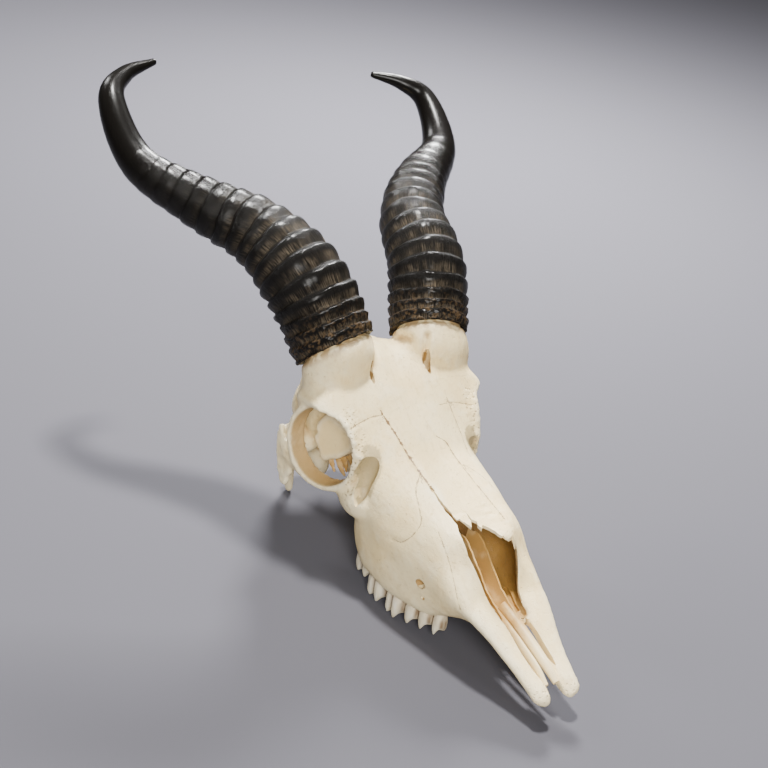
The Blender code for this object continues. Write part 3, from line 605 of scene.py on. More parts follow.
def mark(mesh, name, values):
    """Stores one value or one vector for each point of the mesh."""
    values = np.asarray(values, np.float32)
    kind, key = ("FLOAT_VECTOR", "vector") if values.ndim == 2 else ("FLOAT", "value")
    layer = mesh.attributes.new(name, kind, "POINT")
    layer.data.foreach_set(key, values.ravel())


def distance_to_route(co, route, normal=None):
    """Distance from each point to a route; with normals, also which side of it, and how far along."""
    fine = even_steps(route, 8 * len(route))
    best = np.full(len(co), 1e9)
    side = np.zeros(len(co))
    along = np.zeros(len(co))
    travelled = 0.0
    for a, b in zip(fine, fine[1:]):
        step = b - a
        length = np.linalg.norm(step)
        t = np.clip(((co - a) @ step) / length**2, 0, 1)
        away = co - (a + t[:, None] * step)
        far = np.linalg.norm(away, axis=1)
        near = far < best
        best[near] = far[near]
        if normal is not None:
            across = np.cross(step / length, normal[near])
            across /= np.maximum(np.linalg.norm(across, axis=1), 1e-6)[:, None]
            side[near] = np.einsum("ij,ij->i", away[near], across)
            along[near] = travelled + t[near] * length
        travelled += length
    return best, side, along


def smooth_step(low, high, values):
    t = np.clip((values - low) / (high - low), 0, 1)
    return t * t * (3 - 2 * t)


def relief_of(mesh, co, normal, rounds):
    """How far each point stands out of its surroundings, in millimetres, and below zero in hollows."""
    ends = np.empty(len(mesh.edges) * 2, np.int32)
    mesh.edges.foreach_get("vertices", ends)
    a, b = ends.reshape(-1, 2).T
    count = np.bincount(a, minlength=len(co)) + np.bincount(b, minlength=len(co))
    soft = co.copy()
    for _ in range(rounds):
        total = [np.bincount(a, soft[b, k], len(co)) + np.bincount(b, soft[a, k], len(co)) for k in range(3)]
        soft = np.column_stack(total) / count[:, None]
    return np.einsum("ij,ij->i", co - soft, normal)


def finish_bone(obj):
    """Carves seams, pits and grooves into the skin, and marks what the bone's finish reads."""
    mesh = obj.data
    co, normal = points_of(mesh).astype(float), normals_of(mesh).astype(float)
    nearest, side, along = np.full(len(co), 9.0), np.full(len(co), 9.0), np.zeros(len(co))
    strength = np.zeros(len(co))
    for route, weight in SEAMS:
        far, across, run = distance_to_route(co, route, normal)
        near = far < nearest
        nearest[near], side[near], along[near], strength[near] = far[near], across[near], run[near], weight
    rough = np.minimum(distance_to_route(co, ROUGH_RIM)[0],
                       distance_to_route(co, np.array(ROUGH_RIM) * (-1, 1, 1))[0])
    rough = 1 - smooth_step(1.5, ROUGH_REACH, rough)
    pit_rim = np.array([station[0] for station in TEAR_PIT]) + PIT_RIM_SHIFT
    for turn in (1, -1):
        far = distance_to_route(co, pit_rim * (turn, 1, 1))[0]
        rough = np.maximum(rough, 0.9 * (1 - smooth_step(1.0, 4.0, far)))
    rough = np.maximum(rough, 0.45 * smooth_step(144.0, 153.0, -co[:, 1]))
    flake = (np.abs(co[:, 0]) > 41) * (co[:, 1] > 5) * (co[:, 2] < 60)
    lift = np.zeros(len(co))
    for k, point in enumerate(co):
        lift[k] = 0.28 * ripple(point, 11) + 0.12 * ripple(point, 4.2, 5)
        if rough[k] > 0:
            lift[k] += rough[k] * (0.5 * ripple(point, 1.7, 8) + 0.3 * ripple(point, 3.1, 2))
        if flake[k]:
            lift[k] += 0.45 * ripple(point, 2.2, 8)
    groove = strength * np.exp(-((side / 0.8) ** 2)) * (nearest < SEAM_REACH)
    lift -= 0.4 * groove
    # Painted shade in the shallow grooves, added to the stain below the sheaths
    hollow_shade = np.zeros(len(co))
    for route, reach, depth in GROOVES:
        here = np.exp(-((distance_to_route(co, route)[0] / reach) ** 2))
        lift -= depth * here
        hollow_shade = np.maximum(hollow_shade, here)
    co = co + normal * lift[:, None]
    mesh.vertices.foreach_set("co", (co * MM).astype(np.float32).ravel())
    mesh.update()
    mark(mesh, "seam", np.column_stack([side, nearest, along]))
    mark(mesh, "seam_strength", strength)
    mark(mesh, "rough", rough)
    # Painted shade for the walls of the small openings, the crack, the nose and the eye sockets, partly their own
    # brown
    hole_wall_shade, pit_shade = holes_of(co)
    mark(mesh, "cavity_shade", np.maximum(cavity_shade_of(co, normal), hole_wall_shade))
    mark(mesh, "pit_shade", pit_shade)
    mark(mesh, "nasal", nasal_of(co))
    mark(mesh, "stain_and_shade", np.maximum(horn_foot_of(co), 0.7 * hollow_shade))
    mark(mesh, "relief_shade_and_highlight", relief_of(mesh, co, normals_of(mesh), 16))


def holes_of(co):
    """Masks for painted shade: 1 on the walls of the small openings and in the crack, and apart from them 1 in the
    pits before the eyes.
    """
    right = co * (-1, 1, 1)
    inside, pit_shade = np.zeros(len(co)), np.zeros(len(co))
    for centre, radii in (BROW_SLIT,) + CHEEK_HOLES + (EAR_HOLE,):
        for points in (co, right):
            inside[(((points - centre) / radii) ** 2).sum(axis=1) < 1.12] = 0.9
    rows = even_steps(CRACK, 26)
    middle = np.interp(co[:, 1], rows[::-1, 1], rows[::-1, 0])
    top = np.interp(co[:, 1], rows[::-1, 1], rows[::-1, 2])
    in_crack = (np.abs(co[:, 0] - middle) < 1.7) & (co[:, 2] < top - 1.0) & (co[:, 1] < -57) & (co[:, 1] > -83)
    inside[in_crack] = 1.0
    heights = [station[0][2] for station in TEAR_PIT][::-1]
    widths = [station[1] for station in TEAR_PIT][::-1]
    for points in (co, right):
        far = distance_to_route(points, [station[0] for station in TEAR_PIT])[0]
        reach = np.where(points[:, 0] < 32, 6.4, np.interp(points[:, 2], heights, widths) + 0.5)
        pit_shade[far < reach] = 1.0
    return inside, pit_shade


def cavity_shade_of(co, normal):
    """How far a point lies inside the nose or the eye sockets, from 0 to 1: painted shade in these hollows with the
    brown of their inner walls, darker deeper down the nose.
    """
    x, y, z = co.T
    width = np.interp(y, [-118, -106, -96, -86, -74, -60, -48], [9, 15, 20, 22.5, 24.5, 19.5, 6])
    roof = np.interp(y, [-118, -106, -96, -86, -74, -60, -48], [29, 33.5, 43, 52.8, 56.4, 56.6, 44])
    in_nose = (np.abs(x) < width) & (z < roof + 0.4) & (z > 22) & (y < -46) & (y > -119)
    depth_down = smooth_step(0.0, 9.0, roof - z)
    inward = smooth_step(-0.2, 0.25, -normal[:, 0] * np.sign(x) + 0.35 * normal[:, 2] + 0.2)
    nose = in_nose * np.maximum(0.35 + 0.65 * depth_down, 0) * np.where(np.abs(x) > 3, inward, 1.0)
    axis = np.array(ORBIT_AXIS) / np.linalg.norm(ORBIT_AXIS)
    eye = np.zeros(len(co))
    for turn in (1, -1):
        away = co - np.array(ORBIT_CENTRE) * (turn, 1, 1)
        out = away @ (axis * (turn, 1, 1))
        ring = np.linalg.norm(away - out[:, None] * (axis * (turn, 1, 1)), axis=1)
        inside = (ring < ORBIT_RADIUS + 0.9) * smooth_step(0.3, 2.2, -out) * (out > -ORBIT_DEPTH - 14)
        eye = np.maximum(eye, inside * (0.68 - 0.66 * smooth_step(11, 14, -out)))
    return np.maximum(nose, eye)


def nasal_of(co):
    """The nose bones and the inner walls of the eye sockets, yellower than the rest."""
    x, y, _ = co.T
    axis = np.array(ORBIT_AXIS) / np.linalg.norm(ORBIT_AXIS)
    away = np.column_stack([np.abs(x), co[:, 1:]]) - ORBIT_CENTRE
    out = away @ axis
    ring = np.linalg.norm(away - out[:, None] * axis, axis=1)
    wall = (ring < ORBIT_RADIUS) * (out < -12) * (out > -30)
    return np.maximum(1.4 * wall, (1 - smooth_step(10.5, 13.0, np.abs(x))) * smooth_step(30, 42, -y))


def horn_foot_of(co):
    """Stain and painted shade on the bone just below each sheath."""
    stain_and_shade = np.zeros(len(co))
    for points in (HORN_LEFT, HORN_RIGHT):
        here, direction, _ = horn_frame(points, 0)
        below = (np.array(here) - co) @ np.array(direction)
        near = np.linalg.norm(co - np.array(here), axis=1) < 26
        stain_and_shade = np.maximum(stain_and_shade, near * (1 - smooth_step(1.0, 5.5, below)))
    return stain_and_shade


def make_bone():
    obj = remesh(bone_forms(), FORM_VOXEL, FORM_RELAX)
    carve(
        obj,
        cutter("room_left", sheath_room, HORN_LEFT),
        cutter("room_right", sheath_room, HORN_RIGHT),
        cutter("passage", station_skin, PASSAGE_STATIONS, 40, 14),
        cutter("choana", blob, CHOANA),
        cutter("spine_hole", blob, SPINE_HOLE),
        cutter("eye_space", lambda bm: orbit_drum(bm, 9.0, 17.0, ORBIT_RADIUS + 0.6, 26.0), mirrored=True),
    )
    carve(
        obj,
        cutter("core_left", horn_core, HORN_LEFT),
        cutter("core_right", horn_core, HORN_RIGHT),
        cutter("socket_wall", socket_wall, mirrored=True),
        operation="UNION",
    )
    remesh(obj, SKIN_VOXEL, SKIN_RELAX)
    carve(
        obj,
        cutter("opening", nose_opening),
        cutter("gap", prong_gap),
        cutter("crack", crack),
        cutter("tear_pit", limb, TEAR_PIT, (0, 1, 0), 40, 28, mirrored=True),
        cutter("brow_slit", blob, BROW_SLIT, mirrored=True),
        cutter("cheek_hole", blob, CHEEK_HOLES[0], mirrored=True),
        cutter("cheek_pore", blob, CHEEK_HOLES[1], mirrored=True),
        cutter("ear_hole", blob, EAR_HOLE, mirrored=True),
        cutter("rod_slit", blob, ROD_SLIT, mirrored=True),
    )
    finish_bone(obj)
    obj.data.shade_smooth()
    obj.data.set_sharp_from_angle(angle=math.radians(50))
    return obj


def ring_phase(share):
    """Number of the ring that a share of the length lies in, and how far across it."""
    edges = (-0.02,) + HORN_RING_PLACES + (0.662, 0.705)
    index = int(np.clip(np.searchsorted(edges, share) - 1, 0, len(edges) - 2))
    return index, (share - edges[index]) / (edges[index + 1] - edges[index])


def ring_shape(phase):
    """Height across one ring, 0 in its valleys: a long slope up to a rim, then a sharp drop."""
    return (smooth_step(-0.05, 0.74, phase) * (1 - smooth_step(0.80, 1.02, phase))) ** 0.85


def ring_fade(share):
    return float(np.clip((1.12 - share / HORN_RING_PLACES[-1]) / HORN_RING_FADE, 0, 1))


def ring_drift(turn, place, share, seed):
    """How far the rings stray along the horn at a turn round it: low in front, and wavy."""
    spot = (math.cos(turn) * 14, math.sin(turn) * 14, place)
    wave = 0.005 * ripple(spot, 12, seed) + 0.0022 * ripple(spot, 4.0, seed + 11)
    return wave + (0.008 * math.cos(turn) - 0.003 * math.cos(2 * turn)) * ring_fade(share)


def make_sheath(name, points, radii, seed):
    length = horn_path(points)[1][-1]
    bm = bmesh.new()
    rings = []
    for share in np.linspace(0, 1, HORN_ALONG):
        here, direction, front = horn_frame(points, min(share, 0.997))
        side = direction.cross(front)
        radius = float(radius_at(radii, share))
        fade = ring_fade(share)
        round_tip = math.sqrt(max(0.0, 1 - max(0.0, (share - 0.992) / 0.008) ** 2))
        near_foot = max(0.0, 1 - share / 0.17)
        ring = []
        for i in range(HORN_AROUND):
            turn = 2 * math.pi * i / HORN_AROUND
            x, y, place = math.cos(turn), math.sin(turn), share * length
            index, phase = ring_phase(share + ring_drift(turn, place, share, seed))
            crest = ring_shape(phase) * fade * (1.0 if index else 0.6)
            crest *= (0.9 - 0.3 * near_foot) + 0.3 * ripple((x * 10, y * 10, index * 7.0), 9, seed + 3)
            height = radius * HORN_RING_HEIGHT * crest
            height += near_foot * (0.5 * ripple((x * 20, y * 20, place), 2.4, seed + 5)
                                   + 0.3 * ripple((x * 20, y * 20, place), 1.1, seed + 6))
            height += 0.16 * (1 - min(1.0, share / 0.7)) * ripple((x * 24, y * 24, place * 0.13), 1.0, seed + 7)
            ragged = 0.0
            if share < 0.03:
                ragged = (1 - share / 0.03) * 1.3 * ripple((x * 16, y * 16, 0), 3.0, seed + 9)
            out = (radius * 0.985 + height) * round_tip
            ring.append(here + (front * x + side * y) * out + direction * (ragged + 0.35))
        rings.append(ring)
    foot, direction, front = horn_frame(points, 0)
    side = direction.cross(front)
    inner = []
    for depth, share in ((10.0, 0.86), (0.2, 0.86), (0.0, 0.90)):
        inner.append([
            foot + (front * math.cos(a) + side * math.sin(a)) * radii[0] * share + direction * (depth + 0.35)
            for a in np.linspace(0, 2 * math.pi, HORN_AROUND, endpoint=False)
        ])
    skin(bm, inner + rings)
    obj = into_object(bm, name)
    mark_sheath(obj.data, points, seed)
    obj.data.shade_smooth()
    return obj


def mark_sheath(mesh, points, seed):
    """Marks each point's share of the length, its place within its ring, and a grain along the horn."""
    co = points_of(mesh).astype(float)
    path, reach = horn_path(points)
    nearest = np.empty(len(co), int)
    for low in range(0, len(co), 4000):
        gap = np.linalg.norm(co[low : low + 4000, None, :] - path[None, ::2, :], axis=2)
        nearest[low : low + 4000] = 2 * np.argmin(gap, axis=1)
    frames = [horn_frame(points, reach[k] / reach[-1]) for k in range(len(path))]
    heres, directions, fronts = (np.array([row[k] for row in frames])[nearest] for k in range(3))
    away = co - heres
    place = np.clip(reach[nearest] + np.einsum("ij,ij->i", away, directions), 0, reach[-1])
    shares = place / reach[-1]
    turns = np.arctan2(np.einsum("ij,ij->i", away, np.cross(directions, fronts)),
                       np.einsum("ij,ij->i", away, fronts))
    slope, ridge = np.zeros(len(co)), np.zeros(len(co))
    for k, (share, turn) in enumerate(zip(shares, turns)):
        _, phase = ring_phase(share + ring_drift(turn, place[k], share, seed))
        fade = ring_fade(share)
        slope[k] = (1 - smooth_step(0.26, 0.60, phase)) * smooth_step(-0.02, 0.08, phase) * fade
        ridge[k] = ring_shape(phase) * fade
    mark(mesh, "grain", np.column_stack([np.cos(turns) * 20.0, np.sin(turns) * 20.0, place]))
    mark(mesh, "slope", slope)
    mark(mesh, "ridge", ridge)
    mark(mesh, "share", shares)


def make_tooth(spec, side):
    """Crown with ribs on the cheek side that end in rounded points, and deep grooves between them."""
    name, y0, x0, length, width, tip = spec
    lobes = 2 if length > 10 else 1
    around, rows = 96, 26
    rings = []
    for j in range(rows):
        t = j / (rows - 1)
        down = min(1.0, t / 0.74)
        inward = max(0.0, (t - 0.74) / 0.26)
        ring = []
        for i in range(around):
            a = 2 * math.pi * i / around
            y = 0.5 * length * math.copysign(abs(math.cos(a)) ** 0.75, math.cos(a))
            x = 0.5 * width * math.copysign(abs(math.sin(a)) ** 0.75, math.sin(a))
            lobe = 0.5 + 0.5 * math.cos(2 * math.pi * lobes * y / length) * (-1 if lobes == 2 else 1)
            cheek = 0.5 + x / width
            fold = math.exp(-((y / 0.9) ** 2)) if lobes == 2 else 0.0
            rib = 1 + cheek * (0.1 * lobe - 0.06 - 0.24 * fold) - 0.12 * (1 - cheek) * fold
            neck = 0.84 + 0.16 * smooth_step(0.1, 0.55, down) - 0.05 * smooth_step(0.7, 1.0, down)
            low = tip + 4.4 * (1 - lobe ** 0.75) * cheek + 2.0 * (1 - cheek)
            z = (GUM_LINE + 3.5) * (1 - down) + low * down
            z += 0.35 * smooth_step(0, 0.35, inward) + 1.5 * inward**2
            share = (1 - 0.72 * inward) * (1 - 0.1 * smooth_step(0.82, 1.0, down))
            wobble = 1 + 0.035 * ripple((x * 2, y * 2, z), 3, y0)
            ring.append((x0 + x * rib * neck * wobble * share, y0 + y * neck * wobble * share, z))
        rings.append(ring)
    bm = bmesh.new()
    skin(bm, rings)
    bmesh.ops.scale(bm, vec=(side, 1, 1), verts=bm.verts)
    obj = into_object(bm, f"{name}_crown_{'left' if side > 0 else 'right'}")
    co = points_of(obj.data)
    away = np.abs(co[:, 1] - y0) / length
    between = np.exp(-((away * length / 1.1) ** 2)) if lobes == 2 else np.zeros(len(co))
    # Mask for the enamel's stain and painted shade: the grooves between the ribs and the crown's front and back
    # ends
    mark(obj.data, "groove", np.maximum(between, smooth_step(0.36, 0.5, away)))
    obj.data.shade_smooth()
    return obj


BLADE_EDGE = ((-72, 45), (-80, 46.5), (-90, 40.5), (-100, 33), (-107, 29.5), (-113, 27.3), (-118, 24.6))
BLADE_FLOOR = ((-72, 24), (-100, 23.5), (-118, 22.5))


def make_blades():
    """Thin upright plates on the nasal floor, and the two slim rods that run on to the tip."""
    bm = bmesh.new()
    edge = even_steps(BLADE_EDGE, 70)
    for side in (1, -1):
        rings = []
        for y, top in edge:
            floor = float(np.interp(-y, [-p[0] for p in BLADE_FLOOR], [p[1] for p in BLADE_FLOOR]))
            low, high = 0.9 * side, 3.9 * side
            top += 0.45 * ripple((0, y, 5 * side), 2.0, 4) + 0.5 * ripple((0, y, 9 * side), 5.0, 4)
            ring = []
            for k in range(9):
                t = k / 8
                bend = 0.5 * math.sin(math.pi * t) * side
                ring.append((low + (high - low) * t + bend - 0.4, y, floor - 1 + (top - floor + 1) * t))
            for k in range(9):
                t = 1 - k / 8
                bend = 0.5 * math.sin(math.pi * t) * side
                ring.append((low + (high - low) * t + bend + 0.4, y, floor - 1 + (top - floor + 1) * t))
            rings.append(ring)
        skin(bm, rings)
    for side, share in ((1, 1.25), (-1, 0.72)):
        rod = limb(bm, [(centre, wide * share, thin) for centre, wide, thin in ROD], (1, 0, 0), 40, 20)
        bmesh.ops.scale(bm, vec=(side, 1, 1), verts=rod)
    obj = into_object(bm, "nose_blades")
    obj.data.shade_smooth()
    obj.data.set_sharp_from_angle(angle=math.radians(50))
    return obj


def make_spikes():
    """Thin pointed plates under the inner wall of each eye socket."""
    bm = bmesh.new()
    across = socket_point(1, 0, 0) - socket_point(0, 0, 0)
    for spike in SOCKET_SPIKES:
        stations = [(tuple(socket_point(*spot)), wide, SPIKE_THICKNESS) for spot, wide in spike]
        other_side(bm, limb(bm, stations, tuple(across), 16, 16))
    for vert in bm.verts:
        vert.co += Vector((0.35 * ripple(vert.co / MM, 1.8, 3), 0.35 * ripple(vert.co / MM, 1.8, 6), 0)) * MM
    obj = into_object(bm, "socket_spikes")
    obj.data.shade_smooth()
    return obj


class Nodes:
    """Small helper that wires shader nodes by name."""

    def __init__(self, tree):
        self.tree = tree

    def add(self, kind, values=None, **settings):
        node = self.tree.nodes.new(kind)
        for key, value in settings.items():
            setattr(node, key, value)
        for key, value in (values or {}).items():
            if isinstance(value, bpy.types.NodeSocket):
                self.tree.links.new(value, node.inputs[key])
            else:
                node.inputs[key].default_value = value
        return node

    def noise(self, vector, scale, detail=3.0, roughness=0.5):
        return self.add("ShaderNodeTexNoise", {"Vector": vector, "Scale": scale, "Detail": detail,
                                               "Roughness": roughness}).outputs["Fac"]

    def cells(self, vector, scale):
        return self.add("ShaderNodeTexVoronoi", {"Vector": vector, "Scale": scale}).outputs["Distance"]

    def math(self, operation, a, b=0.0, c=0.0):
        node = self.add("ShaderNodeMath", operation=operation)
        for socket, value in zip(node.inputs, (a, b, c)):
            if isinstance(value, bpy.types.NodeSocket):
                self.tree.links.new(value, socket)
            else:
                socket.default_value = value
        return node.outputs[0]

    def span(self, value, low, high, to_low=0.0, to_high=1.0):
        return self.add("ShaderNodeMapRange", {"Value": value, "From Min": low, "From Max": high,
                                               "To Min": to_low, "To Max": to_high},
                        interpolation_type="SMOOTHSTEP").outputs["Result"]

    def mix(self, share, a, b):
        node = self.add("ShaderNodeMix", data_type="RGBA")
        for socket, value in zip((node.inputs[0], node.inputs[6], node.inputs[7]), (share, a, b)):
            if isinstance(value, bpy.types.NodeSocket):
                self.tree.links.new(value, socket)
            else:
                socket.default_value = value if not isinstance(value, tuple) else (*value, 1)
        return node.outputs[2]

    def attribute(self, name, output="Fac"):
        return self.add("ShaderNodeAttribute", attribute_name=name).outputs[output]

    def object_point(self):
        return self.add("ShaderNodeTexCoord").outputs["Object"]


def dull_grain_group():
    """Fine grain and pores shared by bone and enamel: gives a speckle, a pore mask and a height."""
    tree = bpy.data.node_groups.new("bone_grain", "ShaderNodeTree")
    tree.interface.new_socket("Point", in_out="INPUT", socket_type="NodeSocketVector")
    size = tree.interface.new_socket("Pores per metre", in_out="INPUT", socket_type="NodeSocketFloat")
    size.default_value = 450.0
    for name in ("Speckle", "Pores", "Height"):
        tree.interface.new_socket(name, in_out="OUTPUT", socket_type="NodeSocketFloat")
    n = Nodes(tree)
    given = n.add("NodeGroupInput")
    point, per_metre = given.outputs["Point"], given.outputs["Pores per metre"]
    speckle = n.noise(point, n.math("MULTIPLY", per_metre, 0.25), 5, 0.6)
    cells = n.cells(point, per_metre)
    patches = n.span(n.noise(point, 90.0, 2), 0.5, 0.68)
    pores = n.math("MULTIPLY", n.span(cells, 0.06, 0.2, 1.0, 0.0), patches)
    fine = n.noise(point, n.math("MULTIPLY", per_metre, 2.2), 4, 0.65)
    height = n.math("SUBTRACT", n.math("ADD", n.math("MULTIPLY", speckle, 0.6), n.math("MULTIPLY", fine, 0.4)),
                    n.math("MULTIPLY", pores, 0.8))
    out = n.add("NodeGroupOutput")
    for name, value in (("Speckle", speckle), ("Pores", pores), ("Height", height)):
        tree.links.new(value, out.inputs[name])
    return tree


def new_material(name):
    material = bpy.data.materials.new(name)
    material.use_nodes = True
    nodes = Nodes(material.node_tree)
    return material, nodes, material.node_tree.nodes["Principled BSDF"]


def bone_material(grain):
    material, n, shader = new_material("bone_finish")
    point = n.object_point()
    group = n.add("ShaderNodeGroup", node_tree=grain)
    n.tree.links.new(point, group.inputs["Point"])
    broad = n.noise(point, 28.0, 3, 0.55)
    cloudy = n.noise(point, 110.0, 4, 0.6)
    along_face = n.add("ShaderNodeVectorMath", {0: point, 1: (1.0, 0.14, 0.5)}, operation="MULTIPLY").outputs[0]
    fibres = n.noise(along_face, 420.0, 4, 0.65)
    colour = n.mix(n.span(broad, 0.35, 0.68), (0.94, 0.785, 0.455), (0.88, 0.675, 0.33))
    colour = n.mix(n.span(cloudy, 0.46, 0.72, 0.0, 0.45), colour, (0.95, 0.86, 0.60))
    colour = n.mix(n.span(fibres, 0.48, 0.70, 0.0, 0.36), colour, (0.68, 0.49, 0.23))
    spots = n.noise(point, 620.0, 4, 0.7)
    colour = n.mix(n.span(spots, 0.56, 0.74, 0.0, 0.14), colour, (0.60, 0.43, 0.21))
    colour = n.mix(n.math("MULTIPLY", n.attribute("nasal"), 0.65), colour, (0.90, 0.70, 0.35))
    # Painted shade in creases and hollows and a painted highlight on ridges, from how far each point stands out of
    # its surroundings
    relief_shade_and_highlight = n.attribute("relief_shade_and_highlight")
    colour = n.mix(n.span(relief_shade_and_highlight, -0.9, -0.10, 0.7, 0.0), colour, (0.54, 0.35, 0.14))
    colour = n.mix(n.span(relief_shade_and_highlight, 0.15, 0.9, 0.0, 0.5), colour, (0.96, 0.87, 0.62))
    # Stain and painted shade below the sheaths and in the shallow grooves
    stain_and_shade = n.math("MULTIPLY", n.attribute("stain_and_shade"), n.span(n.noise(point, 240.0, 3), 0.36, 0.58))
    colour = n.mix(n.math("MULTIPLY", stain_and_shade, 0.85), colour, (0.40, 0.24, 0.10))
    rough = n.attribute("rough")
    # Painted shade in the pits before the eyes
    pit_shade = n.math("MULTIPLY", n.attribute("pit_shade"), n.span(fibres, 0.3, 0.65, 0.75, 1.0))
    colour = n.mix(pit_shade, colour, (0.47, 0.37, 0.19))
    crumbs = n.math("MULTIPLY", rough, n.span(n.cells(point, 620.0), 0.1, 0.38, 1.0, 0.0))
    colour = n.mix(n.math("MULTIPLY", crumbs, 0.65), colour, (0.46, 0.32, 0.16))
    pores = group.outputs["Pores"]
    colour = n.mix(n.math("MULTIPLY", pores, 0.5), colour, (0.50, 0.36, 0.18))
    # Painted shade with the inner walls' own brown: dark brown deep in the nose, in the eye sockets and on the
    # walls of the small openings
    cavity_shade = n.attribute("cavity_shade")
    deep = n.math("MULTIPLY", cavity_shade, n.span(broad, 0.2, 0.8, 0.85, 1.0))
    colour = n.mix(n.span(deep, 0.0, 1.0, 0.0, 0.97), colour, (0.36, 0.19, 0.042))
    seam = n.add("ShaderNodeSeparateXYZ", {"Vector": n.attribute("seam", "Vector")})
    side, near, along = (seam.outputs[k] for k in range(3))
    step = n.add("ShaderNodeCombineXYZ", {"X": along}).outputs[0]
    zigzag = n.math("SUBTRACT", n.noise(step, 1.3, 4, 0.8), 0.5)
    wander = n.math("ADD", side, n.math("MULTIPLY", zigzag, 2.3))
    width = n.span(n.noise(step, 0.35, 3), 0.36, 0.66, 0.04, 0.42)
    width = n.math("MULTIPLY", width, n.math("ADD", n.attribute("seam_strength"), 0.3))
    line = n.math("LESS_THAN", n.math("ABSOLUTE", wander), width)
    line = n.math("MULTIPLY", line, n.math("LESS_THAN", near, 2.2))
    line = n.math("MULTIPLY", line, n.math("MINIMUM", n.math("POWER", n.attribute("seam_strength"), 0.6), 1.0))
    colour = n.mix(n.math("MULTIPLY", line, 0.92), colour, (0.17, 0.085, 0.03))
    n.tree.links.new(colour, shader.inputs["Base Color"])
    n.tree.links.new(n.span(cloudy, 0.3, 0.75, 0.42, 0.62), shader.inputs["Roughness"])
    height = n.math("ADD", n.math("MULTIPLY", group.outputs["Height"], 0.6), n.math("MULTIPLY", cloudy, 0.5))
    height = n.math("ADD", height, n.math("MULTIPLY", fibres, 0.45))
    height = n.math("SUBTRACT", height, n.math("MULTIPLY", n.span(spots, 0.54, 0.72), 0.25))
    height = n.math("SUBTRACT", height, n.math("MULTIPLY", line, 1.0))
    height = n.math("SUBTRACT", height, n.math("MULTIPLY", crumbs, 1.1))
    bump = n.add("ShaderNodeBump", {"Height": height, "Strength": 0.75, "Distance": 0.0008})
    n.tree.links.new(bump.outputs["Normal"], shader.inputs["Normal"])
    return material


def horn_material():
    """Black horn: striated tan slopes, swollen black rims, a crusty foot and a polished point."""
    material, n, shader = new_material("horn_finish")
    grain = n.attribute("grain", "Vector")
    stretch = n.add("ShaderNodeVectorMath", {0: grain, 1: (1.0, 1.0, 0.08)}, operation="MULTIPLY").outputs[0]
    streaks = n.noise(stretch, 1.9, 5, 0.75)
    fine = n.noise(stretch, 5.0, 3, 0.7)
    blotch = n.noise(grain, 0.10, 3)
    share = n.attribute("share")
    tan = n.math("MULTIPLY", n.attribute("slope"), n.span(streaks, 0.43, 0.62))
    tan = n.math("MULTIPLY", tan, n.span(blotch, 0.36, 0.62, 0.15, 1.0))
    tan = n.math("MULTIPLY", tan, n.span(share, 0.16, 0.52, 1.0, 0.12))
    colour = n.mix(fine, (0.002, 0.0018, 0.0017), (0.009, 0.0078, 0.0066))
    colour = n.mix(n.math("MULTIPLY", tan, 0.9), colour, (0.125, 0.098, 0.066))
    foot = n.math("MULTIPLY", n.span(share, 0.0, 0.11, 1.0, 0.0), n.span(n.noise(grain, 0.55, 5), 0.50, 0.62))
    colour = n.mix(n.math("MULTIPLY", foot, 0.6), colour, (0.125, 0.078, 0.038))
    n.tree.links.new(colour, shader.inputs["Base Color"])
    polish = n.span(share, 0.12, 0.60, 0.40, 0.19)
    rough = n.math("ADD", polish, n.math("MULTIPLY", tan, 0.3))
    rough = n.math("ADD", rough, n.math("MULTIPLY", fine, 0.12))
    rough = n.math("SUBTRACT", rough, n.math("MULTIPLY", n.attribute("ridge"), 0.08))
    n.tree.links.new(rough, shader.inputs["Roughness"])
    shader.inputs["Specular IOR Level"].default_value = 0.06
    gloss = n.math("MULTIPLY", n.math("ADD", n.attribute("ridge"), n.span(share, 0.45, 0.62)), 0.18)
    n.tree.links.new(gloss, shader.inputs["Coat Weight"])
    shader.inputs["Coat Roughness"].default_value = 0.22
    depth = n.span(share, 0.35, 0.72, 1.0, 0.1)
    height = n.math("MULTIPLY", n.math("ADD", streaks, n.math("MULTIPLY", fine, 0.5)), depth)
    flakes = n.math("MULTIPLY", n.noise(grain, 0.9, 5, 0.7), n.span(share, 0.0, 0.18, 1.8, 0.0))
    height = n.math("ADD", height, flakes)
    bump = n.add("ShaderNodeBump", {"Height": height, "Strength": 0.75, "Distance": 0.0008})
    n.tree.links.new(bump.outputs["Normal"], shader.inputs["Normal"])
    return material


def enamel_material(grain):
    material, n, shader = new_material("enamel_finish")
    point = n.object_point()
    group = n.add("ShaderNodeGroup", node_tree=grain)
    n.tree.links.new(point, group.inputs["Point"])
    group.inputs["Pores per metre"].default_value = 300.0
    tall = n.add("ShaderNodeVectorMath", {0: point, 1: (1.0, 1.0, 0.2)}, operation="MULTIPLY").outputs[0]
    streaks = n.noise(tall, 520.0, 4, 0.6)
    colour = n.mix(n.span(streaks, 0.4, 0.65), (0.78, 0.68, 0.47), (0.86, 0.80, 0.64))
    height = n.add("ShaderNodeSeparateXYZ", {"Vector": point}).outputs["Z"]
    collar = n.math("MULTIPLY", n.span(height, 0.0075, 0.013), n.span(streaks, 0.4, 0.6))
    colour = n.mix(n.math("MULTIPLY", collar, 0.5), colour, (0.48, 0.32, 0.14))
    # Stain and painted shade in the grooves between the ribs and at the crown's ends
    stain_and_shade = n.math("MULTIPLY", n.attribute("groove"), n.span(streaks, 0.25, 0.6, 0.5, 1.0))
    colour = n.mix(n.math("MULTIPLY", stain_and_shade, 0.9), colour, (0.17, 0.095, 0.04))
    n.tree.links.new(colour, shader.inputs["Base Color"])
    n.tree.links.new(n.span(group.outputs["Speckle"], 0.3, 0.7, 0.24, 0.4), shader.inputs["Roughness"])
    bump = n.add("ShaderNodeBump", {"Height": streaks, "Strength": 0.3, "Distance": 0.0003})
    n.tree.links.new(bump.outputs["Normal"], shader.inputs["Normal"])
    return material


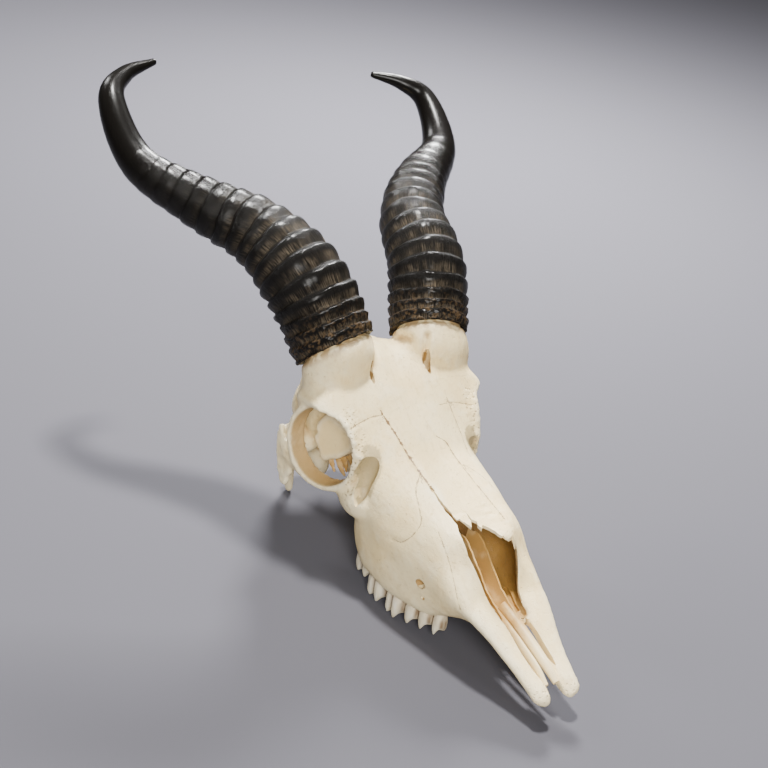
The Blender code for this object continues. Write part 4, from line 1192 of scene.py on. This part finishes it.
def thin_bone_material(grain):
    """Translucent-looking, yellower bone of the thin plates inside the nose, turning brown deeper in: their own
    brown and painted shade.
    """
    material, n, shader = new_material("thin_bone_finish")
    point = n.object_point()
    group = n.add("ShaderNodeGroup", node_tree=grain)
    n.tree.links.new(point, group.inputs["Point"])
    height = n.add("ShaderNodeSeparateXYZ", {"Vector": point}).outputs
    # Painted shade with the plates' own brown: darker deeper into the nose
    inward = n.span(height["Y"], -0.140, -0.112)
    colour = n.mix(inward, (0.86, 0.70, 0.40), (0.50, 0.29, 0.085))
    colour = n.mix(n.span(n.noise(point, 160.0, 3), 0.45, 0.7, 0.0, 0.4), colour, (0.80, 0.62, 0.33))
    n.tree.links.new(colour, shader.inputs["Base Color"])
    n.tree.links.new(n.span(group.outputs["Speckle"], 0.3, 0.7, 0.4, 0.55), shader.inputs["Roughness"])
    bump = n.add("ShaderNodeBump", {"Height": group.outputs["Height"], "Strength": 0.3, "Distance": 0.0004})
    n.tree.links.new(bump.outputs["Normal"], shader.inputs["Normal"])
    return material


def place_light(name, place, target, size, power, colour=(1, 1, 1)):
    light = bpy.data.lights.new(name, "AREA")
    light.size = size
    light.energy = power
    light.color = colour
    obj = bpy.data.objects.new(name, light)
    obj.location = place
    obj.rotation_euler = (Vector(target) - Vector(place)).to_track_quat("-Z", "Y").to_euler()
    bpy.context.scene.collection.objects.link(obj)


def make_stage():
    bm = bmesh.new()
    bmesh.ops.create_grid(bm, x_segments=1, y_segments=1, size=6.0)
    floor = into_object(bm, "floor")
    material, n, shader = new_material("floor_paper")
    shader.inputs["Base Color"].default_value = (0.086, 0.084, 0.098, 1)
    shader.inputs["Roughness"].default_value = 0.9
    shader.inputs["Specular IOR Level"].default_value = 0.2
    floor.data.materials.append(material)
    world = bpy.data.worlds.new("studio")
    world.use_nodes = True
    world.node_tree.nodes["Background"].inputs["Color"].default_value = (0.80, 0.80, 0.86, 1)
    world.node_tree.nodes["Background"].inputs["Strength"].default_value = 0.07
    bpy.context.scene.world = world
    middle = (0.0, -0.01, 0.06)
    place_light("key_overhead", (0.05, 0.22, 1.35), middle, 0.13, 44.0, (1.0, 0.985, 0.955))
    place_light("front_fill", (-0.65, -1.05, 0.80), middle, 0.5, 27.0, (1.0, 0.985, 0.95))
    place_light("back_left", (-0.35, 1.25, 1.0), middle, 0.3, 13.0)
    place_light("backdrop_glow", (0.42, 0.55, 0.60), (0.36, 0.36, 0.0), 0.2, 30.0)


def make_camera():
    data = bpy.data.cameras.new("photo_view")
    data.lens = CAMERA_LENS
    data.sensor_width = 36.0
    data.clip_start = 0.01
    camera = bpy.data.objects.new("photo_view", data)
    rows = Matrix((CAMERA_RIGHT, CAMERA_UP, -Vector(CAMERA_AHEAD))).transposed().to_4x4()
    rows.translation = Vector(CAMERA_PLACE) * MM
    camera.matrix_world = rows
    bpy.context.scene.collection.objects.link(camera)
    bpy.context.scene.camera = camera


def dress(obj, material, slot, *nodes):
    obj.data.materials.clear()
    obj.data.materials.append(material)
    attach(obj, "root")
    if nodes:
        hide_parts(*nodes)


make_camera()
make_stage()
grain = dull_grain_group()
bone_finish, horn_finish = bone_material(grain), horn_material()
enamel_finish, thin_finish = enamel_material(grain), thin_bone_material(grain)
dress(make_bone(), bone_finish, "bone", "skull")
dress(make_blades(), thin_finish, "bone")
dress(make_spikes(), thin_finish, "bone")
dress(make_sheath("sheath_left", HORN_LEFT, SHEATH_LEFT_RADII, 1), horn_finish, "horn", "horn_sheath_left")
dress(make_sheath("sheath_right", HORN_RIGHT, SHEATH_RIGHT_RADII, 2), horn_finish, "horn", "horn_sheath_right")
for tooth in TEETH:
    dress(make_tooth(tooth, 1), enamel_finish, "tooth", f"{tooth[0]}_left")
    dress(make_tooth(tooth, -1), enamel_finish, "tooth", f"{tooth[0]}_right")
